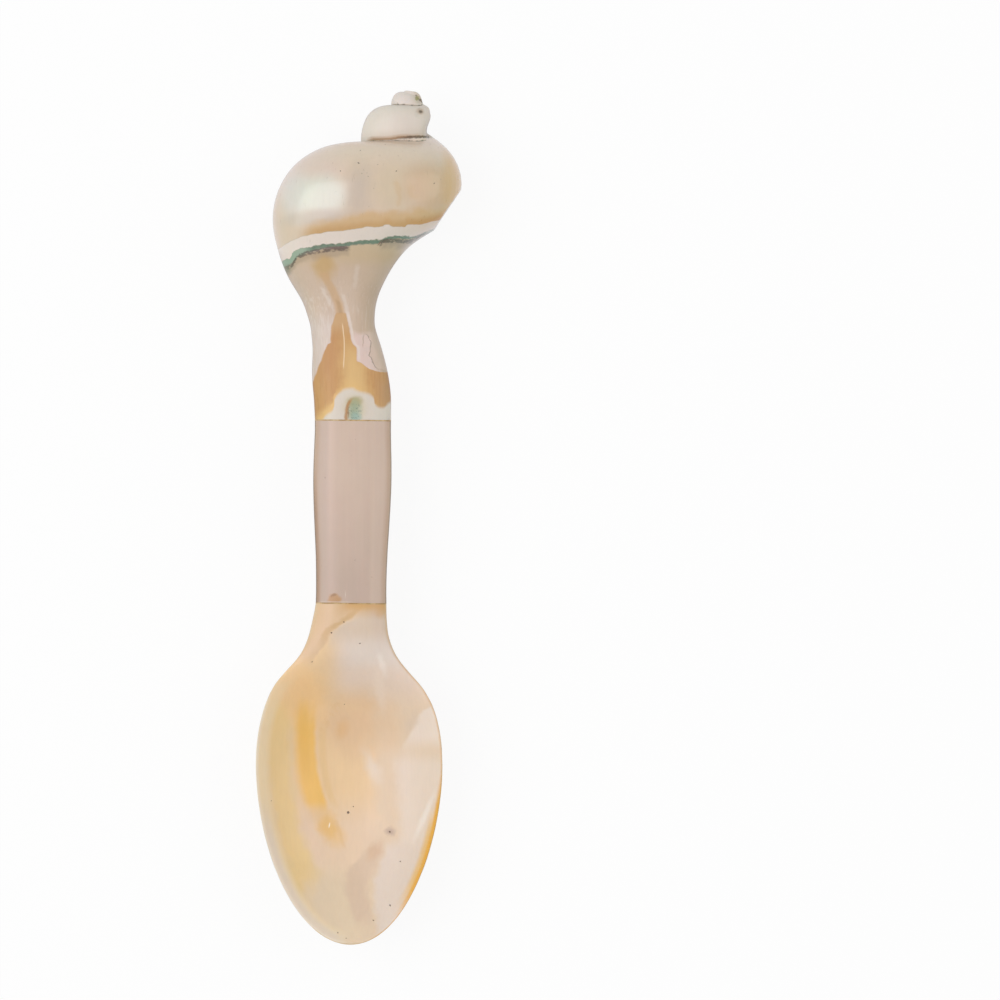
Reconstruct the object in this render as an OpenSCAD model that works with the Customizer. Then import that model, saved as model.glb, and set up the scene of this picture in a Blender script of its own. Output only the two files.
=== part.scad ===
// A mother-of-pearl spoon made of three carved pieces of shell: a pointed bowl with its neck,
// a bevelled bar, and a finial cut from the top of a snail's shell with its spire left whole.
// Two brass pins and two films of glue join them.
//
// Millimetres. +Z is up, +X is to the right of someone who looks into the bowl with the finial
// away from them, and +Y runs from the bowl to the finial. The origin is under the deepest
// place of the bowl, on the table.

/* [Bowl] */
// Length from the tip to the widest and deepest place
tip_l = 29.2; // [25:0.1:34]
// Length from the widest place to the lower joint
shoulder_l = 26.75; // [24:0.05:31]
// Widest width of the bowl
bowl_w = 30.7; // [26:0.1:36]
// Depth of the hollow under the rim
hollow_d = 7.7; // [6:0.1:8.5]
// Thickness of the shell at the bottom of the hollow
wall_t = 1.8; // [1.6:0.1:2.6]
// Thickness of the rim
rim_t = 1.5; // [1:0.1:2]

/* [Bar] */
// Length of the bar between its two joints
bar_l = 29.8; // [24:0.1:40]
// Width at the lower joint
bar_low_w = 11.65; // [10.5:0.05:13]
// Widest width
bar_mid_w = 12.95; // [11:0.05:14.5]
// Width at the upper joint
bar_top_w = 12.55; // [11:0.05:14]
// Thickness at the lower joint
bar_low_t = 5.6; // [5:0.1:6.6]
// Thickness at the upper joint
bar_top_t = 6; // [5:0.1:7]
// Height of the bar's middle above the table
bar_z = 9.1; // [8.6:0.1:10]

/* [Finial] */
// Length from the upper joint to the top of the spire
finial_l = 54.1; // [50:0.1:60]
// Height of the snail from its white band to the top of the spire
snail_h = 24.65; // [22:0.05:27]
// Width of the body whorl, before its right side is trimmed
snail_w = 30.7; // [28:0.1:34]
// Thickness of the body whorl from the table to its front
snail_t = 19.1; // [17:0.1:21]
// Width of the neck at its narrowest
throat_w = 10.5; // [9:0.1:12]
// Thickness of the neck there
throat_t = 6.8; // [5.5:0.1:8]
// How much each turn of the spiral grows
whorl_growth = 2.2; // [2:0.05:2.4]
// Lean of the spire's axis to the right, in degrees
spire_lean = 10.8; // [6:0.1:15]
// Tilt of the whorls across the axis, in degrees
whorl_tilt = 16.7; // [12:0.1:22]
// Slope of the flat that is ground on the right side, in degrees
trim_slope = 33.5; // [28:0.5:38]

/* [Pins and glue] */
// Diameter of the pins
pin_d = 2; // [1.5:0.1:2.2]
// Length of the pins, half of it in each piece
pin_l = 14; // [10:0.5:14]
// Free depth beyond each end of a pin
pin_end_gap = 0.3; // [0.1:0.05:0.4]
// Thickness of the glue between the faces of a joint
glue_t = 0.2; // [0.1:0.05:0.3]
// Thickness of the glue round a pin
sleeve_t = 0.1; // [0.05:0.01:0.15]

/* [Hidden] */

// Colours of the three shells, the pins and the glue
gold_nacre = "#ead6b4";
rose_nacre = "#c3ada1";
snail_nacre = "#e2cfb9";
pin_brass = "#c9a34e";
glue_amber = "#6d3f14";

// Points round each section, along each stretch, and down each whorl
around = 48;
tip_steps = 20;
shoulder_steps = 26;
bar_steps = 20;
neck_steps = 22;
whorl_steps = 12;
dome_steps = 2;
round_facets = 48;

// Heights along the spoon
lower_joint_y = shoulder_l;
bar_low_y = lower_joint_y + glue_t;
bar_top_y = bar_low_y + bar_l;
finial_y = bar_top_y + glue_t;
apex_y = finial_y + finial_l;
band_y = apex_y - snail_h;
neck_l = band_y - finial_y;

// Every cut runs this far past the face it opens
overrun = glue_t;
bore_d = pin_d + 2 * sleeve_t;
bore_depth = pin_l / 2 + pin_end_gap;

// The bar's section is a soft-cornered octagon: flat front, bevels and narrow sides
flat_share = 0.54;
side_share = 0.36;
bevel_across = (1 - side_share) / (1 - flat_share * side_share);
bevel_up = (1 - flat_share) / (1 - flat_share * side_share);
corner_power = 14;
round_power = 2.3;
// It swells from the first of these shares of its length to the second
swell_start_share = 0.1;
swell_top_share = 0.7;

// Depth of shell that is ground away where the finial lies on the table
lap_share = 0.055;
lap_d = snail_t * lap_share;

// The bowl: how pointed its tip is, and how full its rim, hollow and underside are
tip_power = 1.8;
rim_power = 6;
hollow_power = 2.2;
under_power = 2.4;
run_out_power = 1.3;
bowl_z = hollow_d + wall_t - rim_t / 2;
lapped_share = 0.02;
under_d = bowl_z - rim_t / 2 + hollow_d * lapped_share;

// Where the hollow and the keel under it run out, and where the bowl's section gives way to
// the neck's, as shares of the shoulder's length
hollow_end_share = 0.8;
keel_end_share = 0.93;
morph_start_share = 0.36;
morph_end_share = 0.93;

// Width of the shoulder, from 1 at the widest place to 0 at the joint
shoulder_shares = [[0, 1], [0.16, 0.977], [0.31, 0.897], [0.42, 0.784], [0.5, 0.66], [0.57, 0.492],
    [0.68, 0.232], [0.79, 0.094], [0.9, 0.034], [1, 0]];
// How far the hand-cut bowl strays sideways, as a share of half its width
stray_shares = [[-1, 0.026], [-0.7, 0.01], [0, -0.004], [0.37, -0.01], [0.57, -0.031],
    [0.68, -0.025], [0.83, -0.02], [1, 0]];

// Half width of the finial's neck against its height over the joint: the first table fades
// from the joint to the throat, and the second swells from the throat into the body whorl
throat_share = 0.521;
joint_shares = [[0, 1], [0.12, 1.12], [0.256, 1.02], [0.389, 0.48], [throat_share, 0]];
swell_shares = [[throat_share, 0], [0.657, 0.084], [0.789, 0.278], [0.922, 0.48], [0.99, 0.6],
    [1.058, 0.775], [1.126, 0.88]];
// How far the neck's middle strays sideways, as a share of half the snail's width
bend_shares = [[0, 0], [0.12, -0.008], [0.256, -0.037], [0.389, -0.066], [throat_share, -0.122],
    [0.657, -0.158], [0.789, -0.186], [0.922, -0.157], [0.99, -0.1], [1.058, -0.01],
    [1.126, 0.025]];
// Height over which the neck's section turns from the bar's octagon to a plain oval
oval_share = 0.4;

// The spiral, in degrees of turn about the spire: its seam has this radius, and this drop from
// the top of the spire, at the left of the body whorl, and shrinks from there to the top
first_turn = -720;
seam_start = 180;
last_turn = 360;
whorl_turns = (last_turn - first_turn) / 360;
pole_side_share = 0.6;
top_side_share = 0.56;
seam_r_share = 0.406;
seam_drop_share = 0.445;
drop_power = 1.15;
front_flat_share = 0.7;
back_flat_share = 0.78;
seam_r = snail_w / 2 * seam_r_share;
seam_drop = snail_h * seam_drop_share;
pole = [snail_w / 2 * pole_side_share, apex_y, bar_z];
spire_top = [snail_w / 2 * top_side_share, apex_y, bar_z];
dome_share = 0.25;
// Height by which the white band rises to the right, as a share of the neck's length
band_rise_share = 0.056;
// Fullness of each whorl: outwards and downwards at its top, outwards and upwards at its foot
top_left_share = 0.5;
top_right_share = 0.45;
top_fall_share = 0.08;
foot_left_share = 0.1;
foot_right_share = -0.16;
body_foot_right_share = 0.16;
foot_rise_share = 0.38;
// How late the seam turns down to the band, and how near the right side the foot's fullness is
late_power = 3;

// Plain rules for numbers, tables and points
function mix(a, b, share) = a + (b - a) * share;
function ease(x) = let (s = min(1, max(0, x))) s * s * (3 - 2 * s);
function slope(table, i) =
    let (low = max(0, i - 1), high = min(len(table) - 1, i + 1))
    (table[high][1] - table[low][1]) / (table[high][0] - table[low][0]);
function stretch(table, x, i = 0) =
    i >= len(table) - 2 || x < table[i + 1][0] ? i : stretch(table, x, i + 1);
// Reads a table of points as one smooth curve
function curve(table, x) =
    let (
        i = stretch(table, x),
        gap = table[i + 1][0] - table[i][0],
        s = min(1, max(0, (x - table[i][0]) / gap))
    )
    mix(table[i][1], table[i + 1][1], ease(s))
    + gap * s * (1 - s) * ((1 - s) * slope(table, i) - s * slope(table, i + 1));
// A curve with two handles, from a to b
function bent(a, handle_a, handle_b, b, s) =
    let (r = 1 - s)
    r * r * r * a + 3 * r * r * s * handle_a + 3 * r * s * s * handle_b + s * s * s * b;

// Sections: each takes the turn about the spoon's length and gives the radius as a share of an
// ellipse. Turn 0 is the right side, 90 the front and 180 the left side
function octagon(turn) =
    let (across = abs(cos(turn)), up = abs(sin(turn)))
    pow(pow(across, corner_power) + pow(up, corner_power)
        + pow(bevel_across * across + bevel_up * up, corner_power), -1 / corner_power);
function oval(turn) =
    pow(pow(abs(cos(turn)), round_power) + pow(abs(sin(turn)), round_power), -1 / round_power);
function bar_ring(y, width, thick) =
    [for (i = [0:around - 1]) let (turn = i * 360 / around)
        [cos(turn) * width / 2 * octagon(turn), y, bar_z + sin(turn) * thick / 2 * octagon(turn)]];

// Faces of a skin over rings of equal counts, the first ring at index start. With rings that
// climb along +Y the faces point outwards
function quad(a, b, c, d) = [[a, b, c], [a, c, d]];
function strips(start, rings) =
    [for (r = [0:rings - 2], i = [0:around - 1])
        let (low = start + r * around, high = low + around, next = (i + 1) % around)
        each quad(low + i, low + next, high + next, high + i)];
function flipped(faces) = [for (f = faces) [for (i = [len(f) - 1:-1:0]) f[i]]];

// Bowl

function bowl_half_w(y) =
    y < 0 ? bowl_w / 2 * sqrt(1 - pow(-y / tip_l, tip_power))
    : mix(bar_low_w / 2, bowl_w / 2, curve(shoulder_shares, y / shoulder_l));
function bowl_stray(y) =
    bowl_w / 2 * curve(stray_shares, y < 0 ? y / tip_l : y / shoulder_l);
// The rim's half thickness, rounded off over the last of the tip
function rim_half_t(y) =
    let (half = rim_t / 2, left = min(half, y + tip_l))
    sqrt(half * half - (half - left) * (half - left));
function hollow_at(y) =
    y < 0 ? hollow_d * (1 - pow(-y / tip_l, hollow_power))
    : hollow_d * pow(cos(90 * min(1, y / (shoulder_l * hollow_end_share))), run_out_power);
function keel_at(y) =
    y < 0 ? under_d * (1 - pow(-y / tip_l, under_power))
    : under_d * cos(90 * min(1, y / (shoulder_l * keel_end_share)));
function bowl_height(y, turn) =
    let (
        x = abs(cos(turn)),
        rim = rim_half_t(y) * pow(max(0, 1 - pow(x, rim_power)), 1 / rim_power)
    )
    sin(turn) >= 0 ? bowl_z + rim - hollow_at(y) * (1 - pow(x, hollow_power))
    : bowl_z - rim - keel_at(y) * (1 - pow(x, under_power));
function bowl_ring(y) =
    let (
        half = bowl_half_w(y),
        bowlness = 1 - ease((y / shoulder_l - morph_start_share)
            / (morph_end_share - morph_start_share))
    )
    [for (i = [0:around - 1]) let (turn = i * 360 / around, neck = octagon(turn)) [
        bowl_stray(y) + half * cos(turn) * mix(neck, 1, bowlness),
        y,
        mix(bar_z + sin(turn) * bar_low_t / 2 * neck, bowl_height(y, turn), bowlness)
    ]];

// What is ground away where the spoon lies on the table, over a square about the place y
module table_lap(y) {
    translate([-snail_w, y - snail_w, -snail_t])
    cube([2 * snail_w, 2 * snail_w, snail_t]);
}

module bowl_shell() {
    stations = [
        for (i = [tip_steps - 1:-1:1]) -tip_l * sin(90 * i / tip_steps),
        for (i = [0:shoulder_steps]) shoulder_l * i / shoulder_steps
    ];
    rings = [for (y = stations) bowl_ring(y)];
    tip = [bowl_stray(-tip_l), -tip_l, bowl_z];
    end = len(stations) * around + 1;
    polyhedron(
        points = [tip, for (ring = rings) each ring],
        faces = [
            for (i = [0:around - 1]) [0, 1 + (i + 1) % around, 1 + i],
            each strips(1, len(stations)),
            [for (i = [0:around - 1]) end - around + i]
        ]
    );
}

module bowl() {
    color(gold_nacre)
    difference() {
        bowl_shell();
        table_lap(0);
        pin_bore(lower_joint_y, -1);
    }
}

// Bar

function bar_width(share) =
    share < swell_top_share
    ? mix(bar_low_w, bar_mid_w,
        ease((share - swell_start_share) / (swell_top_share - swell_start_share)))
    : mix(bar_mid_w, bar_top_w, ease((share - swell_top_share) / (1 - swell_top_share)));

module handle_bar() {
    rings = [for (i = [0:bar_steps]) let (share = i / bar_steps)
        bar_ring(bar_low_y + bar_l * share, bar_width(share), mix(bar_low_t, bar_top_t, share))];
    color(rose_nacre)
    difference() {
        polyhedron(
            points = [for (ring = rings) each ring],
            faces = [
                [for (i = [around - 1:-1:0]) i],
                each strips(0, bar_steps + 1),
                [for (i = [0:around - 1]) bar_steps * around + i]
            ]
        );
        pin_bore(bar_low_y, 1);
        pin_bore(bar_top_y, -1);
    }
}

// Finial: its neck

function neck_half(share, joint, throat, snail) =
    throat + (joint - throat) * (share < throat_share ? curve(joint_shares, share) : 0)
    + (snail - throat) * (share > throat_share ? curve(swell_shares, share) : 0);
// A point of the neck's surface, at a share of its height and a turn about its length
function neck_point(share, turn) =
    let (
        half_w = neck_half(share, bar_top_w / 2, throat_w / 2, snail_w / 2),
        depth = sin(turn) > 0 ? snail_t - bar_z : bar_z + lap_d,
        half_t = neck_half(share, bar_top_t / 2, throat_t / 2, depth),
        swell = mix(octagon(turn), oval(turn), ease(share / oval_share))
    )
    [
        snail_w / 2 * curve(bend_shares, share) + half_w * cos(turn) * swell,
        finial_y + neck_l * share,
        bar_z + half_t * sin(turn) * swell
    ];
function band_share(turn) = 1 + band_rise_share * cos(turn);
function band_point(turn) = neck_point(band_share(turn), turn);

// Finial: its spiral. The seam winds down from the top, and each whorl bulges out between the
// seam and the same seam one turn lower. The last turn ends on the white band instead

function grown(turn) = pow(whorl_growth, (turn - seam_start) / 360);
function outwards(turn) =
    let (flat = sin(turn) > 0 ? front_flat_share : back_flat_share)
    [cos(turn), -tan(whorl_tilt) * cos(turn), flat * sin(turn)];
function spiral_point(turn) =
    let (
        dropped = (grown(turn) - grown(first_turn)) / (1 - grown(first_turn)),
        drop = seam_drop * pow(max(0, dropped), drop_power)
    )
    pole - drop * [tan(spire_lean), 1, 0] + seam_r * grown(turn) * outwards(turn);
// The seam dies out into the dome at the top, and into the white band at the foot
function seam_point(turn) =
    let (
        dome = 1 - ease((turn - first_turn) / 180),
        band = pow(max(0, (turn - seam_start) / (last_turn - seam_start)), late_power)
    )
    mix(mix(spiral_point(turn), spiral_point(first_turn + 360), dome), band_point(last_turn), band);
function foot_point(turn) = turn < 0 ? seam_point(turn + 360) : band_point(turn);
// From 0 on the spire to 1 on the body whorl
function bodyness(turn) = ease((turn + 90) / 90);
// Upwards at the foot of a whorl: along the spire, or along the neck's own surface
function upwards(turn) =
    let (
        spire = [tan(spire_lean), 1, 0],
        rise = neck_point(band_share(turn) + band_rise_share, turn) - band_point(turn)
    )
    mix(spire, rise / norm(rise), bodyness(turn));
function whorl_point(turn, share) =
    let (
        top = seam_point(turn),
        foot = foot_point(turn),
        size = norm(foot - top),
        rightness = (1 + cos(turn)) / 2,
        top_out = mix(top_left_share, top_right_share, rightness),
        foot_right = mix(foot_right_share, body_foot_right_share, bodyness(turn)),
        foot_out = mix(foot_left_share, foot_right, pow(rightness, late_power))
    )
    bent(
        top,
        top + size * (top_out * outwards(turn) - [0, top_fall_share, 0]),
        foot + size * (foot_out * outwards(turn) + foot_rise_share * upwards(turn)),
        foot, share);
// The dome over the first turn of the seam, highest halfway to the top
function dome_point(turn, share) =
    let (
        seam = seam_point(turn),
        lift = 4 * share * (1 - share) * dome_share
    )
    mix(seam, spire_top, share) + lift * norm(spire_top - seam) * outwards(turn)
    + [0, lift * (apex_y - seam[1]), 0];

module finial_shell() {
    columns = whorl_turns * around;
    band_start = (columns - 1) * whorl_steps;
    dome_start = band_start + (neck_steps + 1) * around;
    end = dome_start + dome_steps * around;
    points = [
        for (j = [1:columns - 1], k = [0:whorl_steps - 1])
            whorl_point(first_turn + j * 360 / around, k / whorl_steps),
        for (i = [0:around - 1]) band_point(i * 360 / around),
        for (r = [1:neck_steps], i = [0:around - 1]) let (turn = i * 360 / around)
            neck_point(band_share(turn) * (1 - r / neck_steps), turn),
        for (r = [1:dome_steps], i = [0:around - 1])
            dome_point(first_turn + i * 360 / around, r / (dome_steps + 1)),
        spire_top
    ];
    // The foot of each whorl is the seam of the next, and the last one's foot is the band
    function spot(j, k) =
        j == columns ? band_start
        : j == 0 ? spot(around, 0)
        : k < whorl_steps ? (j - 1) * whorl_steps + k
        : j < columns - around ? spot(j + around, 0)
        : band_start + j + around - columns;
    function dome_spot(r, i) =
        r == 0 ? spot(i % around, 0) : dome_start + (r - 1) * around + i % around;
    whorls = [
        for (j = [0:columns - 1], k = [0:whorl_steps - 1])
            each quad(spot(j, k), spot(j + 1, k), spot(j + 1, k + 1), spot(j, k + 1))
    ];
    dome = [
        for (r = [0:dome_steps - 1], i = [0:around - 1]) each quad(
            dome_spot(r, i + 1), dome_spot(r, i), dome_spot(r + 1, i), dome_spot(r + 1, i + 1)),
        for (i = [0:around - 1]) [dome_spot(dome_steps, i + 1), dome_spot(dome_steps, i), end]
    ];
    polyhedron(
        points = points,
        faces = flipped([
            for (f = [each whorls, each dome])
                if (f[0] != f[1] && f[1] != f[2] && f[2] != f[0]) f,
            each strips(band_start, neck_steps + 1),
            [for (i = [0:around - 1]) dome_start - around + i]
        ])
    );
}

// The right side is ground to a flat that rises from the white band
module right_trim() {
    translate(band_point(0) - [0, 0, snail_t])
    rotate([0, 0, -trim_slope])
    cube([snail_w, 2 * snail_h, 2 * snail_t]);
}

module finial() {
    color(snail_nacre)
    difference() {
        finial_shell();
        right_trim();
        table_lap(band_y);
        pin_bore(finial_y, 1);
    }
}

// Pins and glue

// A round bar along the spoon, from y in the direction of side
module rod(y, side, length, diameter) {
    translate([0, y, bar_z])
    rotate([-90 * side, 0, 0])
    cylinder(h = length, d = diameter, $fn = round_facets);
}

module pin_bore(y, side) {
    rod(y - overrun * side, side, bore_depth + overrun, bore_d);
}

module joint_pin(y) {
    color(pin_brass)
    rod(y + (glue_t - pin_l) / 2, 1, pin_l, pin_d);
}

// The film has the outline of the bar's end, and the sleeve fills the bores round the pin
module joint_glue(y, width, thick) {
    outline = [for (p = bar_ring(y, width, thick)) [p[0], bar_z - p[2]]];
    color(glue_amber)
    difference() {
        union() {
            translate([0, y, bar_z])
            rotate([-90, 0, 0])
            linear_extrude(height = glue_t)
            polygon(outline);
            rod(y + (glue_t - pin_l) / 2, 1, pin_l, bore_d);
        }
        rod(y + (glue_t - pin_l) / 2 - overrun, 1, pin_l + 2 * overrun, pin_d);
    }
}

module lower_pin() { joint_pin(lower_joint_y); }
module upper_pin() { joint_pin(bar_top_y); }
module lower_glue() { joint_glue(lower_joint_y, bar_low_w, bar_low_t); }
module upper_glue() { joint_glue(bar_top_y, bar_top_w, bar_top_t); }

bowl();
handle_bar();
finial();
lower_pin();
upper_pin();
lower_glue();
upper_glue();
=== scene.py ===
"""A mother-of-pearl spoon whose finial is the top of a snail's shell.

Places and sizes are in millimetres of the spoon's own frame, with X to the right, Y from the bowl to
the finial and Z up from the table. They become metres where they reach Blender. The pieces stand for the
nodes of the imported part, and each kind of shell is painted layer by layer, as the layers lie in the real
one. A line is a row of points, and it is read by X where it runs across the spoon and by Y elsewhere.
"""

import logging
import math
from abc import ABC, abstractmethod
from dataclasses import dataclass, field
from enum import Enum
from typing import Any, Union

import bpy
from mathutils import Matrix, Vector
from mathutils.kdtree import KDTree

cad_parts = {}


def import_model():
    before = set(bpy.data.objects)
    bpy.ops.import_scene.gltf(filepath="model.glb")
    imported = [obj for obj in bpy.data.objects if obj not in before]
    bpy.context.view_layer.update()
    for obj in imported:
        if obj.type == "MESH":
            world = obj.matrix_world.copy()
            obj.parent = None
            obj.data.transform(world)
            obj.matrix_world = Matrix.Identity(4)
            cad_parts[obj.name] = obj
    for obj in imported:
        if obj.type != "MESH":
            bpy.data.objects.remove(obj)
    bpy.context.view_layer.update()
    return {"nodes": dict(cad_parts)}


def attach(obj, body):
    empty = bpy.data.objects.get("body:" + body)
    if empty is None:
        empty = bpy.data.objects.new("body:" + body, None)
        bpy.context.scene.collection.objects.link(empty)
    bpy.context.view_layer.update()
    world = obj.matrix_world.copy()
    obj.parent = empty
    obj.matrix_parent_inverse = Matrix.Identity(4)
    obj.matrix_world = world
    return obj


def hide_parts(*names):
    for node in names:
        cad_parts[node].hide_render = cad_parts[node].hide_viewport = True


LOG = logging.getLogger("spoon")
MM = 0.001
BODY = "root"
JOINTS = (26.85, 56.85)  # Where the bowl and the finial meet the bar, along Y.
MIDDLE = 0.5  # The mean of a random pattern.
SPREAD = (0.3, 0.7)  # Between which values nearly all of a random pattern lies.
SWING = 4  # A pattern strays by about a quarter from its mean, which this makes 1.
ASKEW = (1.0, 1.7, 0.6)  # The way in which patterns are shifted, along no axis.
GRAININESS = 0.6  # How strong the finer patterns of a grain are.
LEAST_FADE = 1e-4  # The shortest way over which a mask can fade.
LEAST_RISE = 1e-3  # What a level line gets, so that it has a range of heights.
ENDLESS = 1e5  # The height of an oval, which goes right through the piece.
FAR_AWAY = 99.0  # How far everything is from the seam of a piece that has none.

Point = tuple[float, float]
Line = tuple[Point, ...]
Socket = bpy.types.NodeSocket
Value = Union[float, Socket]
Colour = tuple[float, float, float, float]


def paint(code: str) -> Colour:
    """Turns a colour code into the linear colour that a shader takes.

    Args:
        code: Red, green and blue as six hexadecimal digits.

    Returns:
        The linear colour with full opacity.
    """
    shares = [int(code[i : i + 2], 16) / 255 for i in (0, 2, 4)]
    linear = [s / 12.92 if s <= 0.04045 else ((s + 0.055) / 1.055) ** 2.4 for s in shares]
    return (linear[0], linear[1], linear[2], 1.0)


class Drift(Enum):
    """How far an edge between two layers of shell wanders: the size of its waves and their height."""

    STILL = (1.0, 0.0002)
    CLOUDY = (5.0, 1.6)
    WAVY = (2.2, 0.5)
    FINE = (1.5, 0.12)
    TORN = (0.8, 0.17)
    FRAYED = (0.4, 0.13)


class Way(Enum):
    """The side of a line that a layer lies on."""

    UP = "up"
    DOWN = "down"
    LEFT = "left"
    RIGHT = "right"

    @property
    def across(self) -> bool:
        """Whether the line runs across the spoon, from left to right."""
        return self in (Way.UP, Way.DOWN)

    @property
    def positive(self) -> bool:
        """Whether the layer lies where the coordinate is larger than the line."""
        return self in (Way.UP, Way.RIGHT)


class Trace(Enum):
    """What the vertices of a carved piece know about their place on it, in millimetres."""

    OUTLINE = "outline_mm"
    SEAM = "seam_mm"


class Mixture:
    """The node tree of one finish, built a value at a time, with lengths in millimetres."""

    def __init__(self, name: str) -> None:
        """Starts an empty tree.

        Args:
            name: The material's name.
        """
        self.material = bpy.data.materials.new(name)
        self.material.use_nodes = True
        self.tree = self.material.node_tree
        self.tree.nodes.clear()
        self.heights: list[tuple[Socket, float]] = []
        self._drifts: dict[Drift, Socket] = {}
        self._parts: dict[Drift, tuple[Socket, Socket, Socket]] = {}
        coordinates = self.node("ShaderNodeTexCoord")
        self.place = self.vector("SCALE", coordinates.outputs["Object"], factor=1 / MM)

    def node(self, kind: str, **settings: Any) -> bpy.types.Node:
        """Adds a node to the tree.

        Args:
            kind: The node's type.
            settings: Its properties by name.

        Returns:
            The new node.
        """
        made = self.tree.nodes.new(kind)
        for name, value in settings.items():
            setattr(made, name, value)
        return made

    def feed(self, socket: Socket, value: Any) -> None:
        """Links a socket to another one, or sets its value.

        Args:
            socket: The socket that takes the value.
            value: Another socket, or a plain value.
        """
        if isinstance(value, bpy.types.NodeSocket):
            self.tree.links.new(value, socket)
        else:
            socket.default_value = value

    def math(self, operation: str, *terms: Value, clamp: bool = False) -> Socket:
        """Works out one sum.

        Args:
            operation: The name of a Math node's operation.
            terms: Its terms, in order.
            clamp: Whether the result is kept from 0 to 1.

        Returns:
            The result.
        """
        made = self.node("ShaderNodeMath", operation=operation, use_clamp=clamp)
        for socket, term in zip(made.inputs, terms):
            self.feed(socket, term)
        return made.outputs[0]

    def vector(self, operation: str, *terms: Any, factor: Value | None = None) -> Socket:
        """Works out one sum of vectors.

        Args:
            operation: The name of a Vector Math node's operation.
            terms: Its vectors, in order.
            factor: What a SCALE multiplies by.

        Returns:
            The resulting vector.
        """
        made = self.node("ShaderNodeVectorMath", operation=operation)
        for socket, term in zip(made.inputs, terms):
            self.feed(socket, term)
        if factor is not None:
            self.feed(made.inputs["Scale"], factor)
        return made.outputs["Vector"]

    def fade(self, value: Value, start: float, end: float) -> Socket:
        """Rises smoothly from 0 at start to 1 at end, or falls where end is the smaller.

        Args:
            value: What is looked at.
            start: Where the result is 0.
            end: Where the result is 1.

        Returns:
            The result, from 0 to 1.
        """
        made = self.node("ShaderNodeMapRange", interpolation_type="SMOOTHSTEP")
        low, high = min(start, end), max(start, end)
        ends = (0.0, 1.0) if start < end else (1.0, 0.0)
        for socket, term in zip(made.inputs, (value, low, max(high, low + LEAST_FADE), *ends)):
            self.feed(socket, term)
        return made.outputs[0]

    def scaled(self, value: Value, low: float, high: float, to_low: float, to_high: float) -> Socket:
        """Carries a value in a straight line from one range to another, and keeps it there.

        Args:
            value: What is carried over.
            low: The start of its range.
            high: The end of its range.
            to_low: The start of the new range.
            to_high: The end of the new range.

        Returns:
            The value in the new range.
        """
        made = self.node("ShaderNodeMapRange", clamp=True)
        for socket, term in zip(made.inputs, (value, low, high, to_low, to_high)):
            self.feed(socket, term)
        return made.outputs[0]

    def cloud(
        self,
        size: float,
        stretch: tuple[float, float, float] = (1, 1, 1),
        detail: float = 2.0,
        shift: float = 0.0,
        roughness: float = 0.5,
        colour: bool = False,
    ) -> Socket:
        """Makes a soft random pattern.

        Args:
            size: How large its clouds are.
            stretch: How many times longer they are along each axis.
            detail: How many finer patterns are laid over it.
            shift: Where in the endless pattern it is taken from.
            roughness: How strong the finer patterns are.
            colour: Whether three patterns are wanted, as a vector.

        Returns:
            The pattern, from 0 to 1 and mostly near its middle.
        """
        mapping = self.node("ShaderNodeMapping", vector_type="TEXTURE")
        self.feed(mapping.inputs["Vector"], self.place)
        self.feed(mapping.inputs["Location"], tuple(part * shift for part in ASKEW))
        self.feed(mapping.inputs["Scale"], tuple(s * size for s in stretch))
        made = self.node("ShaderNodeTexNoise")
        self.feed(made.inputs["Vector"], mapping.outputs[0])
        self.feed(made.inputs["Scale"], 1.0)
        self.feed(made.inputs["Detail"], detail)
        self.feed(made.inputs["Roughness"], roughness)
        return made.outputs["Color" if colour else "Fac"]

    def drifted(self, drift: Drift) -> Socket:
        """Gives the place on the shell, moved about at random.

        Args:
            drift: How far it is moved.

        Returns:
            The moved place.
        """
        if drift not in self._drifts:
            size, height = drift.value
            pattern = self.cloud(size, colour=True, detail=2.5)
            centred = self.vector("SUBTRACT", pattern, (MIDDLE, MIDDLE, MIDDLE))
            moved = self.vector("SCALE", centred, factor=SWING * height)
            self._drifts[drift] = self.vector("ADD", self.place, moved)
        return self._drifts[drift]

    def parts(self, drift: Drift = Drift.STILL) -> tuple[Socket, Socket, Socket]:
        """Splits the place on the shell into its coordinates.

        Args:
            drift: How far the place is moved first.

        Returns:
            Its X, Y and Z.
        """
        if drift not in self._parts:
            split = self.node("ShaderNodeSeparateXYZ")
            self.feed(split.inputs[0], self.drifted(drift))
            self._parts[drift] = (split.outputs[0], split.outputs[1], split.outputs[2])
        return self._parts[drift]

    def along(self, value: Socket, line: Line) -> Socket:
        """Reads a smooth line at a value.

        Args:
            value: Where the line is read.
            line: Pairs of a value and the line's height there, in rising order.

        Returns:
            The line's height.
        """
        low, high = line[0][0], line[-1][0]
        heights = [height for _, height in line]
        bottom, top = min(heights), max(heights) + LEAST_RISE
        made = self.node("ShaderNodeFloatCurve")
        curve = made.mapping.curves[0]
        while len(curve.points) < len(line):
            curve.points.new(0.5, 0.5)
        for spot, (at, height) in zip(curve.points, line):
            spot.location = ((at - low) / (high - low), (height - bottom) / (top - bottom))
            spot.handle_type = "AUTO_CLAMPED"
        made.mapping.update()
        self.feed(made.inputs["Value"], self.scaled(value, low, high, 0.0, 1.0))
        return self.scaled(made.outputs[0], 0.0, 1.0, bottom, top)

    def trace(self, trace: Trace) -> Socket:
        """Reads what the vertices know about their place."""
        return self.node("ShaderNodeAttribute", attribute_name=trace.value).outputs["Fac"]

    def blend(self, share: Value, under: Any, over: Any, how: str = "MIX") -> Socket:
        """Lays one colour over another.

        Args:
            share: How much of the upper colour shows.
            under: The lower colour.
            over: The upper colour.
            how: The name of the blending.

        Returns:
            The blended colour.
        """
        made = self.node("ShaderNodeMix", data_type="RGBA", blend_type=how)
        self.feed(made.inputs["Factor"], share)
        self.feed(made.inputs[6], under)
        self.feed(made.inputs[7], over)
        return made.outputs[2]

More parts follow.
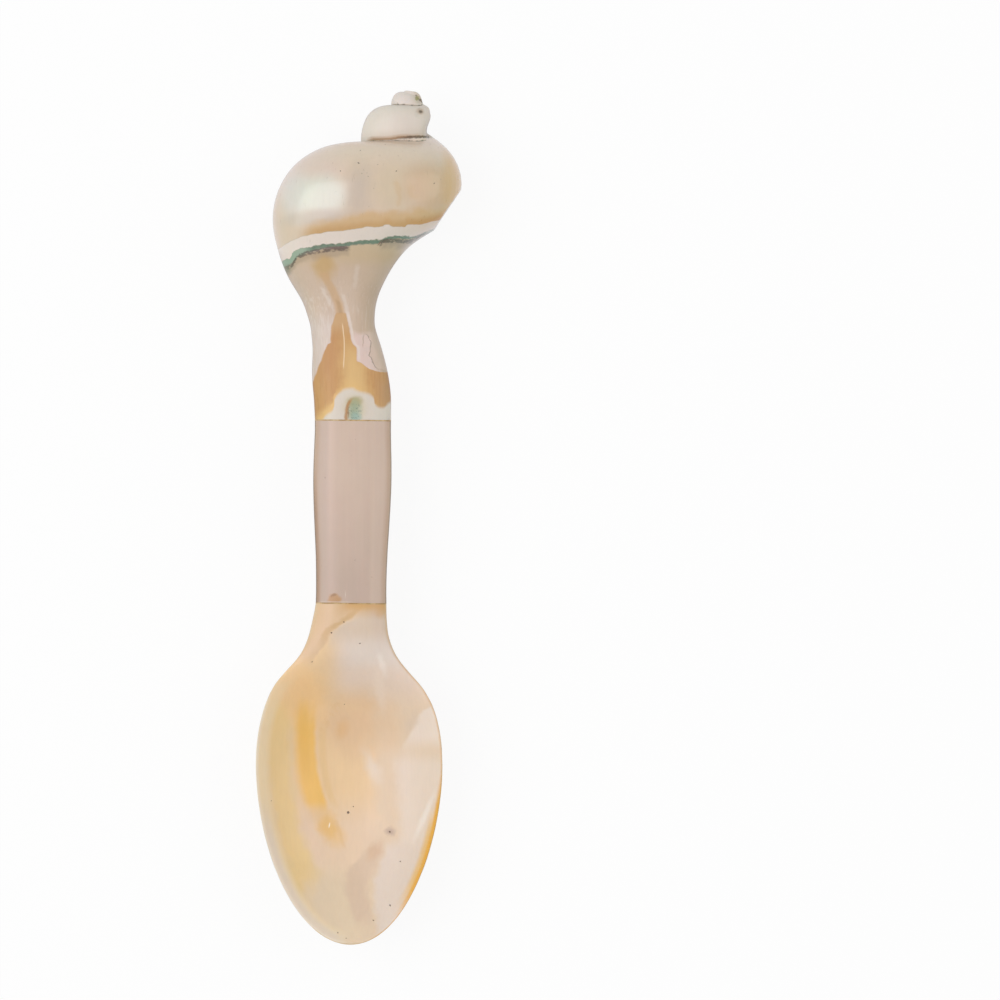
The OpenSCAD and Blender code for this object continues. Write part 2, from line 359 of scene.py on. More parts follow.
    def relief(self) -> Socket:
        """Turns all the heights into one normal, each pattern times its millimetres where it is 1.

        Returns:
            The normal.
        """
        total: Value = 0.0
        for pattern, height in self.heights:
            total = self.math("MULTIPLY_ADD", pattern, height, total)
        made = self.node("ShaderNodeBump")
        for socket, value in (("Strength", 1.0), ("Distance", MM), ("Height", total)):
            self.feed(made.inputs[socket], value)
        return made.outputs[0]

    def close(self, shader: bpy.types.Node) -> bpy.types.Material:
        """Ends the tree in a shader.

        Args:
            shader: The node whose first output is the finish.

        Returns:
            The finished material.
        """
        output = self.node("ShaderNodeOutputMaterial")
        self.feed(output.inputs["Surface"], shader.outputs[0])
        return self.material


class Shape(ABC):
    """A place on the shell where a layer comes to the surface."""

    @abstractmethod
    def mask(self, mixture: Mixture) -> Socket:
        """Gives 1 inside the shape and 0 outside it.

        Args:
            mixture: The finish's tree.

        Returns:
            The mask.
        """


@dataclass(frozen=True)
class Oval(Shape):
    """An oval with a soft edge, seen from above.

    Attributes:
        centre: The oval's middle.
        radii: Half its width and half its length.
        turn: How many degrees it is turned.
        soft: How wide its faded edge is, as a share of the radii.
        drift: How far its edge wanders.
    """

    centre: Point
    radii: Point
    turn: float = 0.0
    soft: float = 0.5
    drift: Drift = Drift.STILL

    def mask(self, mixture: Mixture) -> Socket:
        """Gives 1 inside the oval and 0 outside it.

        Args:
            mixture: The finish's tree.

        Returns:
            The mask.
        """
        mapping = mixture.node("ShaderNodeMapping", vector_type="TEXTURE")
        mixture.feed(mapping.inputs["Vector"], mixture.drifted(self.drift))
        mixture.feed(mapping.inputs["Location"], (*self.centre, 0.0))
        mixture.feed(mapping.inputs["Rotation"], (0.0, 0.0, math.radians(self.turn)))
        end = 1 + self.soft
        mixture.feed(mapping.inputs["Scale"], (self.radii[0] * end, self.radii[1] * end, ENDLESS))
        ball = mixture.node("ShaderNodeTexGradient", gradient_type="SPHERICAL")
        mixture.feed(ball.inputs["Vector"], mapping.outputs[0])
        return mixture.fade(ball.outputs["Fac"], 0.0, 2 * self.soft / end)


@dataclass(frozen=True)
class Side(Shape):
    """All that lies to one side of a line. For up or down it is read by X.

    Attributes:
        line: The line.
        way: The side that the layer lies on.
        soft: How wide the faded edge is.
        drift: How far the edge wanders.
        shift: How far the edge is moved from the line, towards larger values.
    """

    line: Line
    way: Way
    soft: float = 0.3
    drift: Drift = Drift.STILL
    shift: float = 0.0

    def mask(self, mixture: Mixture) -> Socket:
        """Gives 1 on the layer's side of the line and 0 on the other.

        Args:
            mixture: The finish's tree.

        Returns:
            The mask.
        """
        x, y, _ = mixture.parts(self.drift)
        along, over = (x, y) if self.way.across else (y, x)
        beyond = mixture.math("SUBTRACT", over, mixture.along(along, self.line))
        half = self.soft / 2
        start, end = self.shift - half, self.shift + half
        return mixture.fade(beyond, start, end) if self.way.positive else mixture.fade(beyond, end, start)


@dataclass(frozen=True)
class Beyond(Shape):
    """All that lies past a straight limit, on the side that the way names.

    Attributes:
        way: The side.
        limit: Where it starts.
        soft: How wide the faded edge is.
    """

    way: Way
    limit: float
    soft: float = 1.0

    def mask(self, mixture: Mixture) -> Socket:
        """Gives 1 past the limit and 0 before it.

        Args:
            mixture: The finish's tree.

        Returns:
            The mask.
        """
        x, y, _ = mixture.parts()
        low, high = self.limit - self.soft / 2, self.limit + self.soft / 2
        over = y if self.way.across else x
        return mixture.fade(over, low, high) if self.way.positive else mixture.fade(over, high, low)


@dataclass(frozen=True)
class Lane(Shape):
    """All that lies between two lines that are read by Y, up to where they end.

    Attributes:
        left: The left line.
        right: The right line.
        soft: How wide the faded edges are.
        drift: How far the edges wander.
        tail: Over what length it fades out at both ends.
    """

    left: Line
    right: Line
    soft: float = 0.4
    drift: Drift = Drift.STILL
    tail: float = 1.0

    def mask(self, mixture: Mixture) -> Socket:
        """Gives 1 between the lines and 0 outside them.

        Args:
            mixture: The finish's tree.

        Returns:
            The mask.
        """
        _, y, _ = mixture.parts(self.drift)
        between = mixture.math(
            "MULTIPLY",
            Side(self.left, Way.RIGHT, self.soft, self.drift).mask(mixture),
            Side(self.right, Way.LEFT, self.soft, self.drift).mask(mixture),
        )
        low, high = self.left[0][0], self.left[-1][0]
        between = mixture.math("MULTIPLY", between, mixture.fade(y, low, low + self.tail))
        return mixture.math("MULTIPLY", between, mixture.fade(y, high, high - self.tail))


@dataclass(frozen=True)
class Vein(Shape):
    """A stripe along a line, which fades out at both ends.

    Attributes:
        line: The line.
        half_w: Half the width of the full stripe.
        soft: How wide the faded edge on each side is.
        across: Whether the line is read by X, and not by Y.
        tail: Over what length the stripe fades out at both ends.
        drift: How far it wanders.
        shift: How far it is moved from the line, towards larger values.
    """

    line: Line
    half_w: float
    soft: float
    across: bool = False
    tail: float = 1.0
    drift: Drift = Drift.STILL
    shift: float = 0.0

    def mask(self, mixture: Mixture) -> Socket:
        """Gives 1 on the stripe and 0 beside it.

        Args:
            mixture: The finish's tree.

        Returns:
            The mask.
        """
        x, y, _ = mixture.parts(self.drift)
        along, over = (x, y) if self.across else (y, x)
        middle = mixture.math("ADD", mixture.along(along, self.line), self.shift)
        away = mixture.math("ABSOLUTE", mixture.math("SUBTRACT", over, middle))
        stripe = mixture.fade(away, self.half_w + self.soft, self.half_w)
        low, high = self.line[0][0], self.line[-1][0]
        stripe = mixture.math("MULTIPLY", stripe, mixture.fade(along, low, low + self.tail))
        return mixture.math("MULTIPLY", stripe, mixture.fade(along, high, high - self.tail))


@dataclass(frozen=True)
class Front(Shape):
    """The side that faces up from the table, or the one that faces down.

    Attributes:
        up: Whether it is the side that faces up.
        edge: Between which slopes it starts, from 0 where the surface is upright to 1 where it is level.
    """

    up: bool = True
    edge: Point = (-0.1, 0.25)

    def mask(self, mixture: Mixture) -> Socket:
        """Gives 1 on the side and 0 on the other.

        Args:
            mixture: The finish's tree.

        Returns:
            The mask.
        """
        made = mixture.node("ShaderNodeSeparateXYZ")
        mixture.feed(made.inputs[0], mixture.node("ShaderNodeTexCoord").outputs["Normal"])
        start, end = self.edge if self.up else reversed(self.edge)
        return mixture.fade(made.outputs[2], start, end)


@dataclass(frozen=True)
class Near(Shape):
    """All that lies near the outline or a seam, at most so far from it.

    Attributes:
        trace: What it lies near.
        reach: How far it is in full.
        soft: How wide the faded edge is beyond that.
        rag: How far the edge strays at random.
        rag_size: How large the waves of the edge are.
    """

    trace: Trace
    reach: float
    soft: float
    rag: float = 0.0
    rag_size: float = 1.1

    def mask(self, mixture: Mixture) -> Socket:
        """Gives 1 at the line and 0 beyond the reach.

        Args:
            mixture: The finish's tree.

        Returns:
            The mask.
        """
        away = mixture.trace(self.trace)
        if self.rag:
            ragged = mixture.math("SUBTRACT", mixture.cloud(self.rag_size, detail=3.0, shift=7.0), MIDDLE)
            away = mixture.math("MULTIPLY_ADD", ragged, SWING * self.rag, away)
        return mixture.fade(away, self.reach + self.soft, self.reach)


@dataclass(frozen=True)
class Grain(Shape):
    """Random streaks or clouds, which show where their pattern is over a threshold.

    Attributes:
        size: How large they are.
        stretch: How many times longer they are along each axis.
        threshold: The value at the middle of their edge, where a larger one leaves fewer.
        soft: How gently they fade, in values of the pattern.
        shift: Where in the endless pattern they are taken from.
        detail: How many finer patterns are laid over it.
    """

    size: float
    stretch: tuple[float, float, float] = (1, 1, 1)
    threshold: float = 0.5
    soft: float = 0.2
    shift: float = 0.0
    detail: float = 3.0

    def mask(self, mixture: Mixture) -> Socket:
        """Gives 1 on the streaks and 0 between them."""
        pattern = mixture.cloud(self.size, self.stretch, self.detail, self.shift, roughness=GRAININESS)
        return mixture.fade(pattern, self.threshold - self.soft / 2, self.threshold + self.soft / 2)


@dataclass(frozen=True)
class Specks(Shape):
    """Pinholes, each with its place seen from above and its radius.

    Attributes:
        holes: Their places and radii.
        soft: How wide the faded edge is, as a share of the radius.
    """

    holes: tuple[tuple[float, float, float], ...]
    soft: float = 0.45

    def mask(self, mixture: Mixture) -> Socket:
        """Gives 1 in each hole and 0 outside them.

        Args:
            mixture: The finish's tree.

        Returns:
            The mask.
        """
        found: Socket | None = None
        for x, y, radius in self.holes:
            spot = Oval((x, y), (radius, radius), soft=self.soft, drift=Drift.FRAYED).mask(mixture)
            found = spot if found is None else mixture.math("MAXIMUM", found, spot)
        return found


@dataclass(frozen=True)
class Layer:
    """One colour of shell, which shows where all its shapes meet, and how far it stands up there.

    Attributes:
        colour: The colour, as six hexadecimal digits.
        shapes: The shapes that have to meet.
        strength: How much of the colour shows.
        height: How far the layer stands up, or below 0 how deep it lies.
    """

    colour: str
    shapes: tuple[Shape, ...]
    strength: float = 1.0
    height: float = 0.0

    def lay(self, mixture: Mixture, under: Any) -> Socket:
        """Lays the layer over the colour under it.

        Args:
            mixture: The finish's tree.
            under: The colour so far.

        Returns:
            The new colour.
        """
        share: Value = self.strength
        for shape in self.shapes:
            share = mixture.math("MULTIPLY", share, shape.mask(mixture))
        if self.height:
            mixture.heights.append((share, self.height))
        return mixture.blend(share, under, paint(self.colour))


@dataclass(frozen=True)
class Nacre:
    """Polished mother-of-pearl: its layers, its grain and its lustre.

    Attributes:
        name: The material's name.
        ground: The colour under all the layers.
        layers: The layers, from the lowest to the uppermost.
        dull: The shapes in which the polish is worn or was never given.
        growth: How many times longer the fine lines of growth are along each axis.
        growth_size: How wide those lines are.
        growth_strength: How much they lighten and darken the colour.
        roughness: How matt the shell is.
        lustre: How strongly it mirrors, as an index of refraction.
        coat: How much of a clear polish lies over it.
        coat_roughness: How matt that polish is.
        film: How thick the film of its shimmer is, in nanometres.
        film_ior: The index of refraction of that film.
        glow: How much light goes under the surface.
        glow_depth: How deep that light goes.
        glow_reach: How far its red, green and blue go for that depth.
        relief: How high the lines of growth stand.
        swell: How many times higher the clouds stand.
        cloud_size: How large the clouds of its tone are.
        cloud_stretch: How many times longer they are along each axis.
        rougher: What the lines of growth add to the roughness at their ends.
        dull_rougher: What a dull place adds to the roughness.
        dull_coat: What share of the polish a dull place loses.
    """

    name: str
    ground: str
    layers: tuple[Layer, ...]
    dull: tuple[Shape, ...] = ()
    growth: tuple[float, float, float] = (1.0, 9.0, 1.0)
    growth_size: float = 0.5
    growth_strength: float = 0.035
    roughness: float = 0.3
    lustre: float = 1.7
    coat: float = 0.6
    coat_roughness: float = 0.18
    film: float = 550.0
    film_ior: float = 1.6
    glow: float = 0.12
    glow_depth: float = 1.2
    glow_reach: tuple[float, float, float] = (1.0, 0.7, 0.45)
    relief: float = 0.006
    swell: float = 4.0
    cloud_size: float = 3.5
    cloud_stretch: tuple[float, float, float] = (1.0, 1.4, 1.0)
    rougher: Point = (-0.03, 0.05)
    dull_rougher: float = 0.22
    dull_coat: float = 0.8

    def make(self) -> bpy.types.Material:
        """Builds the material.

        Returns:
            The finished material.
        """
        mixture = Mixture(self.name)
        colour: Any = paint(self.ground)
        for layer in self.layers:
            colour = layer.lay(mixture, colour)
        growth = mixture.cloud(self.growth_size, self.growth, detail=4.0, shift=3.0, roughness=GRAININESS)
        clouds = mixture.cloud(self.cloud_size, self.cloud_stretch, detail=3.0, shift=11.0)
        half_growth = mixture.math("MULTIPLY", growth, 0.5)
        half_clouds = mixture.math("MULTIPLY", clouds, 0.5)
        tone = mixture.math("ADD", half_growth, half_clouds)
        shade = mixture.scaled(tone, *SPREAD, 1 - self.growth_strength, 1 + self.growth_strength)
        colour = mixture.blend(1.0, colour, shade, "MULTIPLY")
        dull: Value = 0.0
        for shape in self.dull:
            dull = mixture.math("MAXIMUM", dull, shape.mask(mixture))
        rough = mixture.scaled(growth, *SPREAD, *(self.roughness + more for more in self.rougher))
        mixture.heights += [(clouds, self.relief * self.swell), (growth, self.relief)]
        shader = mixture.node("ShaderNodeBsdfPrincipled")
        for socket, value in (
            ("Base Color", colour),
            ("Roughness", mixture.math("MULTIPLY_ADD", dull, self.dull_rougher, rough)),
            ("Coat Weight", mixture.math("MULTIPLY_ADD", dull, -self.dull_coat * self.coat, self.coat)),
            ("Coat Roughness", self.coat_roughness),
            ("IOR", self.lustre),
            ("Thin Film Thickness", self.film),
            ("Thin Film IOR", self.film_ior),
            ("Subsurface Weight", self.glow),
            ("Subsurface Radius", self.glow_reach),
            ("Subsurface Scale", self.glow_depth * MM),
            ("Normal", mixture.relief()),
        ):
            mixture.feed(shader.inputs[socket], value)
        return mixture.close(shader)


@dataclass(frozen=True)
class Glue:
    """Old amber glue, glossy and a little cloudy."""

    name: str = "amber_glue"
    dark: str = "a8844f"
    light: str = "d3b283"
    cloud_size: float = 1.4
    cloud_height: float = 0.02
    clear: Point = (0.4, 0.7)
    roughness: Point = (0.3, 0.45)
    glow: float = 0.2
    glow_depth: float = 0.5

    def make(self) -> bpy.types.Material:
        """Builds the material.

        Returns:
            The finished material.
        """
        mixture = Mixture(self.name)
        cloud = mixture.cloud(self.cloud_size, detail=3.0)
        mixture.heights.append((cloud, self.cloud_height))
        clear = mixture.fade(cloud, *self.clear)
        shader = mixture.node("ShaderNodeBsdfPrincipled")
        for socket, value in (
            ("Base Color", mixture.blend(clear, paint(self.dark), paint(self.light))),
            ("Roughness", mixture.scaled(cloud, *SPREAD, *self.roughness)),
            ("Subsurface Weight", self.glow),
            ("Subsurface Scale", self.glow_depth * MM),
            ("Normal", mixture.relief()),
        ):
            mixture.feed(shader.inputs[socket], value)
        return mixture.close(shader)


@dataclass(frozen=True)
class DrawnBrass:
    """Drawn brass rod, with fine lines along its length."""

    name: str = "pin_brass"
    bright: str = "caa552"
    dull: str = "a98439"
    line_w: float = 0.12
    line_length: float = 60.0
    line_height: float = 0.004
    worn: Point = (0.35, 0.65)
    roughness: Point = (0.32, 0.42)

    def make(self) -> bpy.types.Material:
        """Builds the material.

        Returns:
            The finished material.
        """
        mixture = Mixture(self.name)
        lines = mixture.cloud(self.line_w, (1, self.line_length, 1), 3.0)
        mixture.heights.append((lines, self.line_height))
        worn = mixture.fade(lines, *self.worn)
        shader = mixture.node("ShaderNodeBsdfPrincipled")
        for socket, value in (
            ("Base Color", mixture.blend(worn, paint(self.dull), paint(self.bright))),
            ("Metallic", 1.0),
            ("Roughness", mixture.scaled(lines, *SPREAD, *self.roughness)),
            ("Normal", mixture.relief()),
        ):
            mixture.feed(shader.inputs[socket], value)
        return mixture.close(shader)


@dataclass(frozen=True)
class Dent:
    """A shallow place that the carver's tool left, or a bump where the depth is below 0.

    Attributes:
        centre: A place near which the surface is pressed in.
        radius: How far it reaches.
        depth: How deep it is.
        towards: The way in which it is pressed.
    """

    centre: tuple[float, float, float]
    radius: float
    depth: float
    towards: tuple[float, float, float] = (0.0, 0.0, -1.0)


@dataclass
class CarvedPiece(ABC):
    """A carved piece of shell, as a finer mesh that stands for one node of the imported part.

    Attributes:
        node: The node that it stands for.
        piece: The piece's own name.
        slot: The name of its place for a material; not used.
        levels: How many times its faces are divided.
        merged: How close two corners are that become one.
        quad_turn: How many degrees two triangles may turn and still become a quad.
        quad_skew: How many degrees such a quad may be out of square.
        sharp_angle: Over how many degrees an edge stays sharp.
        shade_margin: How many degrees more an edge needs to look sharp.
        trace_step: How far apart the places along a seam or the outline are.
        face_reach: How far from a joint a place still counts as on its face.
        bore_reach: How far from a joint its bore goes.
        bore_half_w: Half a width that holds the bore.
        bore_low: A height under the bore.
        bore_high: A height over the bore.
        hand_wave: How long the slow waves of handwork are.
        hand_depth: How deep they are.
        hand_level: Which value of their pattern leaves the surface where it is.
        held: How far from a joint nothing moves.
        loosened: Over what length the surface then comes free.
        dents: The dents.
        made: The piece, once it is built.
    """

    node: str
    piece: str
    slot: str
    levels: int = 2
    merged: float = 0.001
    quad_turn: float = 40.0
    quad_skew: float = 60.0
    sharp_angle: float = 24.0
    shade_margin: float = 6.0
    trace_step: float = 0.15
    face_reach: float = 0.15
    bore_reach: float = 8.0
    bore_half_w: float = 1.5
    bore_low: float = 7.5
    bore_high: float = 10.7
    hand_wave: float = 5.0
    hand_depth: float = 0.06
    hand_level: float = 0.9
    held: float = 0.1
    loosened: float = 1.5
    dents: tuple[Dent, ...] = ()
    made: bpy.types.Object | None = field(default=None, init=False)

    @abstractmethod
    def finish(self) -> Nacre:
        """Gives the piece's own shell."""

    def build(self, nodes: dict[str, bpy.types.Object]) -> bpy.types.Object:
        """Makes the piece and puts it in the node's place.

        Args:
            nodes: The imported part's nodes by name.

        Returns:
            The finished piece.
        """
        self._copy(nodes[self.node])
        folds, outline = self._folds(), self._outline()
        self._smooth()
        self._carve()
        self._remember(Trace.SEAM, folds)
        self._remember(Trace.OUTLINE, outline)
        self._dress()
        return self.made

    def _alone(self) -> None:
        """Selects the piece and nothing else."""
        bpy.ops.object.select_all(action="DESELECT")
        self.made.select_set(True)
        bpy.context.view_layer.objects.active = self.made

    def _copy(self, source: bpy.types.Object) -> None:
        """Copies a node's mesh, joins its loose triangles and pairs them into quads.

        Args:
            source: The node.
        """
        self.made = bpy.data.objects.new(self.piece, source.data.copy())
        bpy.context.scene.collection.objects.link(self.made)
        self._alone()
        bpy.ops.mesh.customdata_custom_splitnormals_clear()
        bpy.ops.object.mode_set(mode="EDIT")
        bpy.ops.mesh.select_all(action="SELECT")
        bpy.ops.mesh.remove_doubles(threshold=self.merged * MM)
        bpy.ops.mesh.mark_sharp(clear=True)
        bpy.ops.mesh.tris_convert_to_quads(
            face_threshold=math.radians(self.quad_turn),
            shape_threshold=math.radians(self.quad_skew),
        )
        bpy.ops.object.mode_set(mode="OBJECT")

    def _turns(self) -> dict[tuple[int, int], tuple[float, bool]]:
        """Looks at how the surface turns at each edge.

        Returns:
            How many degrees it turns, and whether it folds inwards, by the edge's two corners.
        """
        mesh = self.made.data
        sides: dict[tuple[int, int], list[int]] = {}
        for face in mesh.polygons:
            for key in face.edge_keys:
                sides.setdefault(key, []).append(face.index)
        turns = {}
        for key, faces in sides.items():
            if len(faces) != 2:
                continue
            one, other = (mesh.polygons[i] for i in faces)
            angle = math.degrees(one.normal.angle(other.normal, 0.0))
            inwards = (other.center - one.center).dot(one.normal) > 0
            turns[key] = (angle, inwards)
        return turns

    def _folds(self) -> list[Vector]:
        """Gives places along the seams, where the surface folds sharply inwards.

        Returns:
            The places, in metres.
        """
        mesh = self.made.data
        places = []
        for (a, b), (angle, inwards) in self._turns().items():
            if inwards and angle > self.sharp_angle:
                places += self._spaced(mesh.vertices[a].co, mesh.vertices[b].co)
        return places

    def _spaced(self, start: Vector, end: Vector) -> list[Vector]:
        """Gives evenly spaced places from one end of a straight edge to the other.

        Args:
            start: The first place.
            end: The last place.

        Returns:
            The places, with both ends.
        """
        steps = max(1, round((end - start).length / (self.trace_step * MM)))
        return [start.lerp(end, i / steps) for i in range(steps + 1)]

    def _outline(self) -> list[Vector]:
        """Gives places along the outline as it is seen from above, without the joints.

        Returns:
            The places, in metres and all at height 0.
        """
        mesh = self.made.data
        facing: dict[tuple[int, int], list[bool]] = {}
        for face in mesh.polygons:
            for key in face.edge_keys:
                facing.setdefault(key, []).append(face.normal.z > 0)
        places = []
        for (a, b), ups in facing.items():
            start, end = mesh.vertices[a].co, mesh.vertices[b].co
            if len(ups) == 2 and ups[0] != ups[1] and not (self._in_joint(start) and self._in_joint(end)):
                places += [Vector((place.x, place.y, 0.0)) for place in self._spaced(start, end)]
        return places

    def _in_joint(self, place: Vector) -> bool:
        """Tells whether a place is out of sight in a joint.

        Args:
            place: The place, in metres.

        Returns:
            Whether it lies on a face of a joint or in a bore.
        """
        x, y, z = (part / MM for part in place)
        from_joint = min(abs(y - joint) for joint in JOINTS)
        in_bore = abs(x) < self.bore_half_w and self.bore_low < z < self.bore_high
        return from_joint < self.face_reach or (from_joint < self.bore_reach and in_bore)

    def _smooth(self) -> None:
        """Creases the sharp edges and subdivides the mesh into smooth faces."""
        mesh = self.made.data
        turns = self._turns()
        crease = mesh.attributes.new("crease_edge", "FLOAT", "EDGE")
        for edge in mesh.edges:
            angle, _ = turns.get(edge.key, (90.0, False))
            crease.data[edge.index].value = self._sharpness(edge, angle)
        self._alone()
        finer = self.made.modifiers.new("finer", "SUBSURF")
        finer.levels = finer.render_levels = self.levels
        bpy.ops.object.modifier_apply(modifier=finer.name)
        bpy.ops.object.shade_smooth_by_angle(angle=math.radians(self.sharp_angle + self.shade_margin))

    def _sharpness(self, edge: bpy.types.MeshEdge, angle: float) -> float:
        """Gives how sharp an edge stays, from 0 where it is rounded away to 1."""
        return 1.0 if angle > self.sharp_angle else 0.0

    def _carve(self) -> None:
        """Leaves the unevenness of handwork: a slow wave all over, and the dents."""
        free = self.made.vertex_groups.new(name="free")
        for vertex in self.made.data.vertices:
            free.add([vertex.index], self._freedom(vertex.co / MM), "REPLACE")
        wave = bpy.data.textures.new(f"{self.piece}_hand", "CLOUDS")
        wave.noise_scale = self.hand_wave * MM
        self._alone()
        uneven = self.made.modifiers.new("uneven", "DISPLACE")
        uneven.texture = wave
        uneven.texture_coords = "LOCAL"
        uneven.strength = self.hand_depth * MM
        uneven.mid_level = self.hand_level
        uneven.vertex_group = free.name
        bpy.ops.object.modifier_apply(modifier=uneven.name)
        for dent in self.dents:
            self._press(dent)
        self.made.vertex_groups.clear()

    def _freedom(self, place: Vector) -> float:
        """Gives 0 on the faces of the joints and on the table, and 1 away from them."""
        away = min(min(abs(place.y - joint) for joint in JOINTS) - self.held, place.z)
        return min(1.0, max(0.0, away / self.loosened))

    def _press(self, dent: Dent) -> None:
        """Presses one dent into the mesh, deepest at its middle.

        Args:
            dent: The dent.
        """
        found, _, _, face = self.made.closest_point_on_mesh(Vector(dent.centre) * MM)
        if not found:
            return
        self._alone()
        bpy.ops.object.mode_set(mode="EDIT")
        bpy.ops.mesh.select_all(action="DESELECT")
        bpy.ops.object.mode_set(mode="OBJECT")
        for corner in self.made.data.polygons[face].vertices:
            self.made.data.vertices[corner].select = True
        bpy.ops.object.mode_set(mode="EDIT")
        bpy.ops.transform.translate(
            value=Vector(dent.towards).normalized() * dent.depth * MM,
            use_proportional_edit=True,
            proportional_edit_falloff="SMOOTH",
            proportional_size=dent.radius * MM,
        )
        bpy.ops.object.mode_set(mode="OBJECT")

    def _remember(self, trace: Trace, places: list[Vector]) -> None:
        """Stores how far each vertex is from some places.

        Args:
            trace: What the places are.
            places: The places. Those of the outline are at height 0 and are measured in plan.
        """
        flat = trace is Trace.OUTLINE
        tree = KDTree(max(1, len(places)))
        for i, place in enumerate(places):
            tree.insert(place, i)
        tree.balance()
        attribute = self.made.data.attributes.new(trace.value, "FLOAT", "POINT")
        for vertex in self.made.data.vertices:
            place = Vector((vertex.co.x, vertex.co.y, 0.0)) if flat else vertex.co
            away = tree.find(place)[2] / MM if places else FAR_AWAY
            attribute.data[vertex.index].value = away

    def _dress(self) -> None:
        """Gives the piece its material and ties it to the frame."""
        self.made.data.materials.clear()
        self.made.data.materials.append(self.finish().make())
        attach(self.made, BODY)
        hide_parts(self.node)


# Where the layers of the bowl end, and its pinholes with their radii.
GOLD_EDGE = (
    (11.0, -5.4), (12.6, -5.9), (14.7, -6.3), (17.3, -6.1), (19.9, -4.3), (21.9, -3.2), (23.8, -1.0),
    (25.4, 1.1), (26.8, 2.9),
)
PALE_EDGE = (
    (-14.0, 8.6), (-8.0, 8.4), (-4.0, 8.0), (0.0, 7.7), (2.4, 8.3), (4.1, 9.1), (5.8, 10.0), (8.4, 11.2),
    (10.2, 13.4), (12.0, 15.5),
)
LEFT_ZONE = ((-29.0, -1.5), (-20.0, -4.6), (-14.0, -6.8), (-6.0, -8.4), (0.0, -8.9), (14.0, -9.6))
RIGHT_ZONE = ((-29.0, 2.0), (-16.0, 3.6), (-10.0, 4.8), (-4.0, 5.0), (0.0, 3.6), (4.0, 3.8), (20.0, 3.4))
STREAK_LEFT = ((-8.0, -6.4), (-4.0, -8.0), (0.0, -8.7), (4.0, -8.9), (10.0, -9.1), (14.0, -9.0))
STREAK_RIGHT = (
    (-8.0, -3.6), (-6.0, -3.9), (-4.0, -4.5), (0.0, -5.5), (4.0, -5.8), (10.0, -5.7), (14.0, -5.2),
)
YELLOW = (
    (-25.0, -3.6), (-19.4, -6.2), (-14.0, -8.7), (-7.6, -10.4), (-1.1, -11.5), (5.1, -11.9),
    (14.0, -10.9),
)
HOLLOW_LEFT = (
    (-27.0, 2.2), (-24.0, 0.9), (-21.5, -0.4), (-18.5, -0.7), (-16.5, 0.3), (-14.6, 2.1), (-13.2, 3.8),
    (-11.0, 5.2),
)
HOLLOW_RIGHT = (
    (-27.0, 4.4), (-22.0, 3.4), (-20.0, 2.9), (-18.0, 3.7), (-16.0, 4.6), (-13.5, 5.6), (-11.0, 6.0),
)
PEARL_LEFT = ((-26.0, 5.0), (-20.0, 4.2), (-18.0, 4.5), (-15.6, 5.3), (-12.6, 6.3), (-11.0, 7.0))
RIM_START = ((-29.2, 4.6), (-27.0, 4.0), (-25.0, 3.0), (-12.0, 10.6), (-6.0, 13.8), (0.0, 16.0))
BOWL_PINHOLES = (
    (-1.1, 23.8, 0.1), (-3.1, 22.0, 0.13), (-6.3, 17.2, 0.08), (1.6, 20.3, 0.08), (-0.2, -7.7, 0.18),
    (0.6, -6.7, 0.08), (6.7, -10.8, 0.12), (8.5, -15.5, 0.09), (6.9, -22.7, 0.11), (4.2, -25.2, 0.1),
    (-1.6, -27.2, 0.08), (-0.2, -28.1, 0.08), (-12.8, -5.7, 0.06), (-1.0, 10.2, 0.06),
)


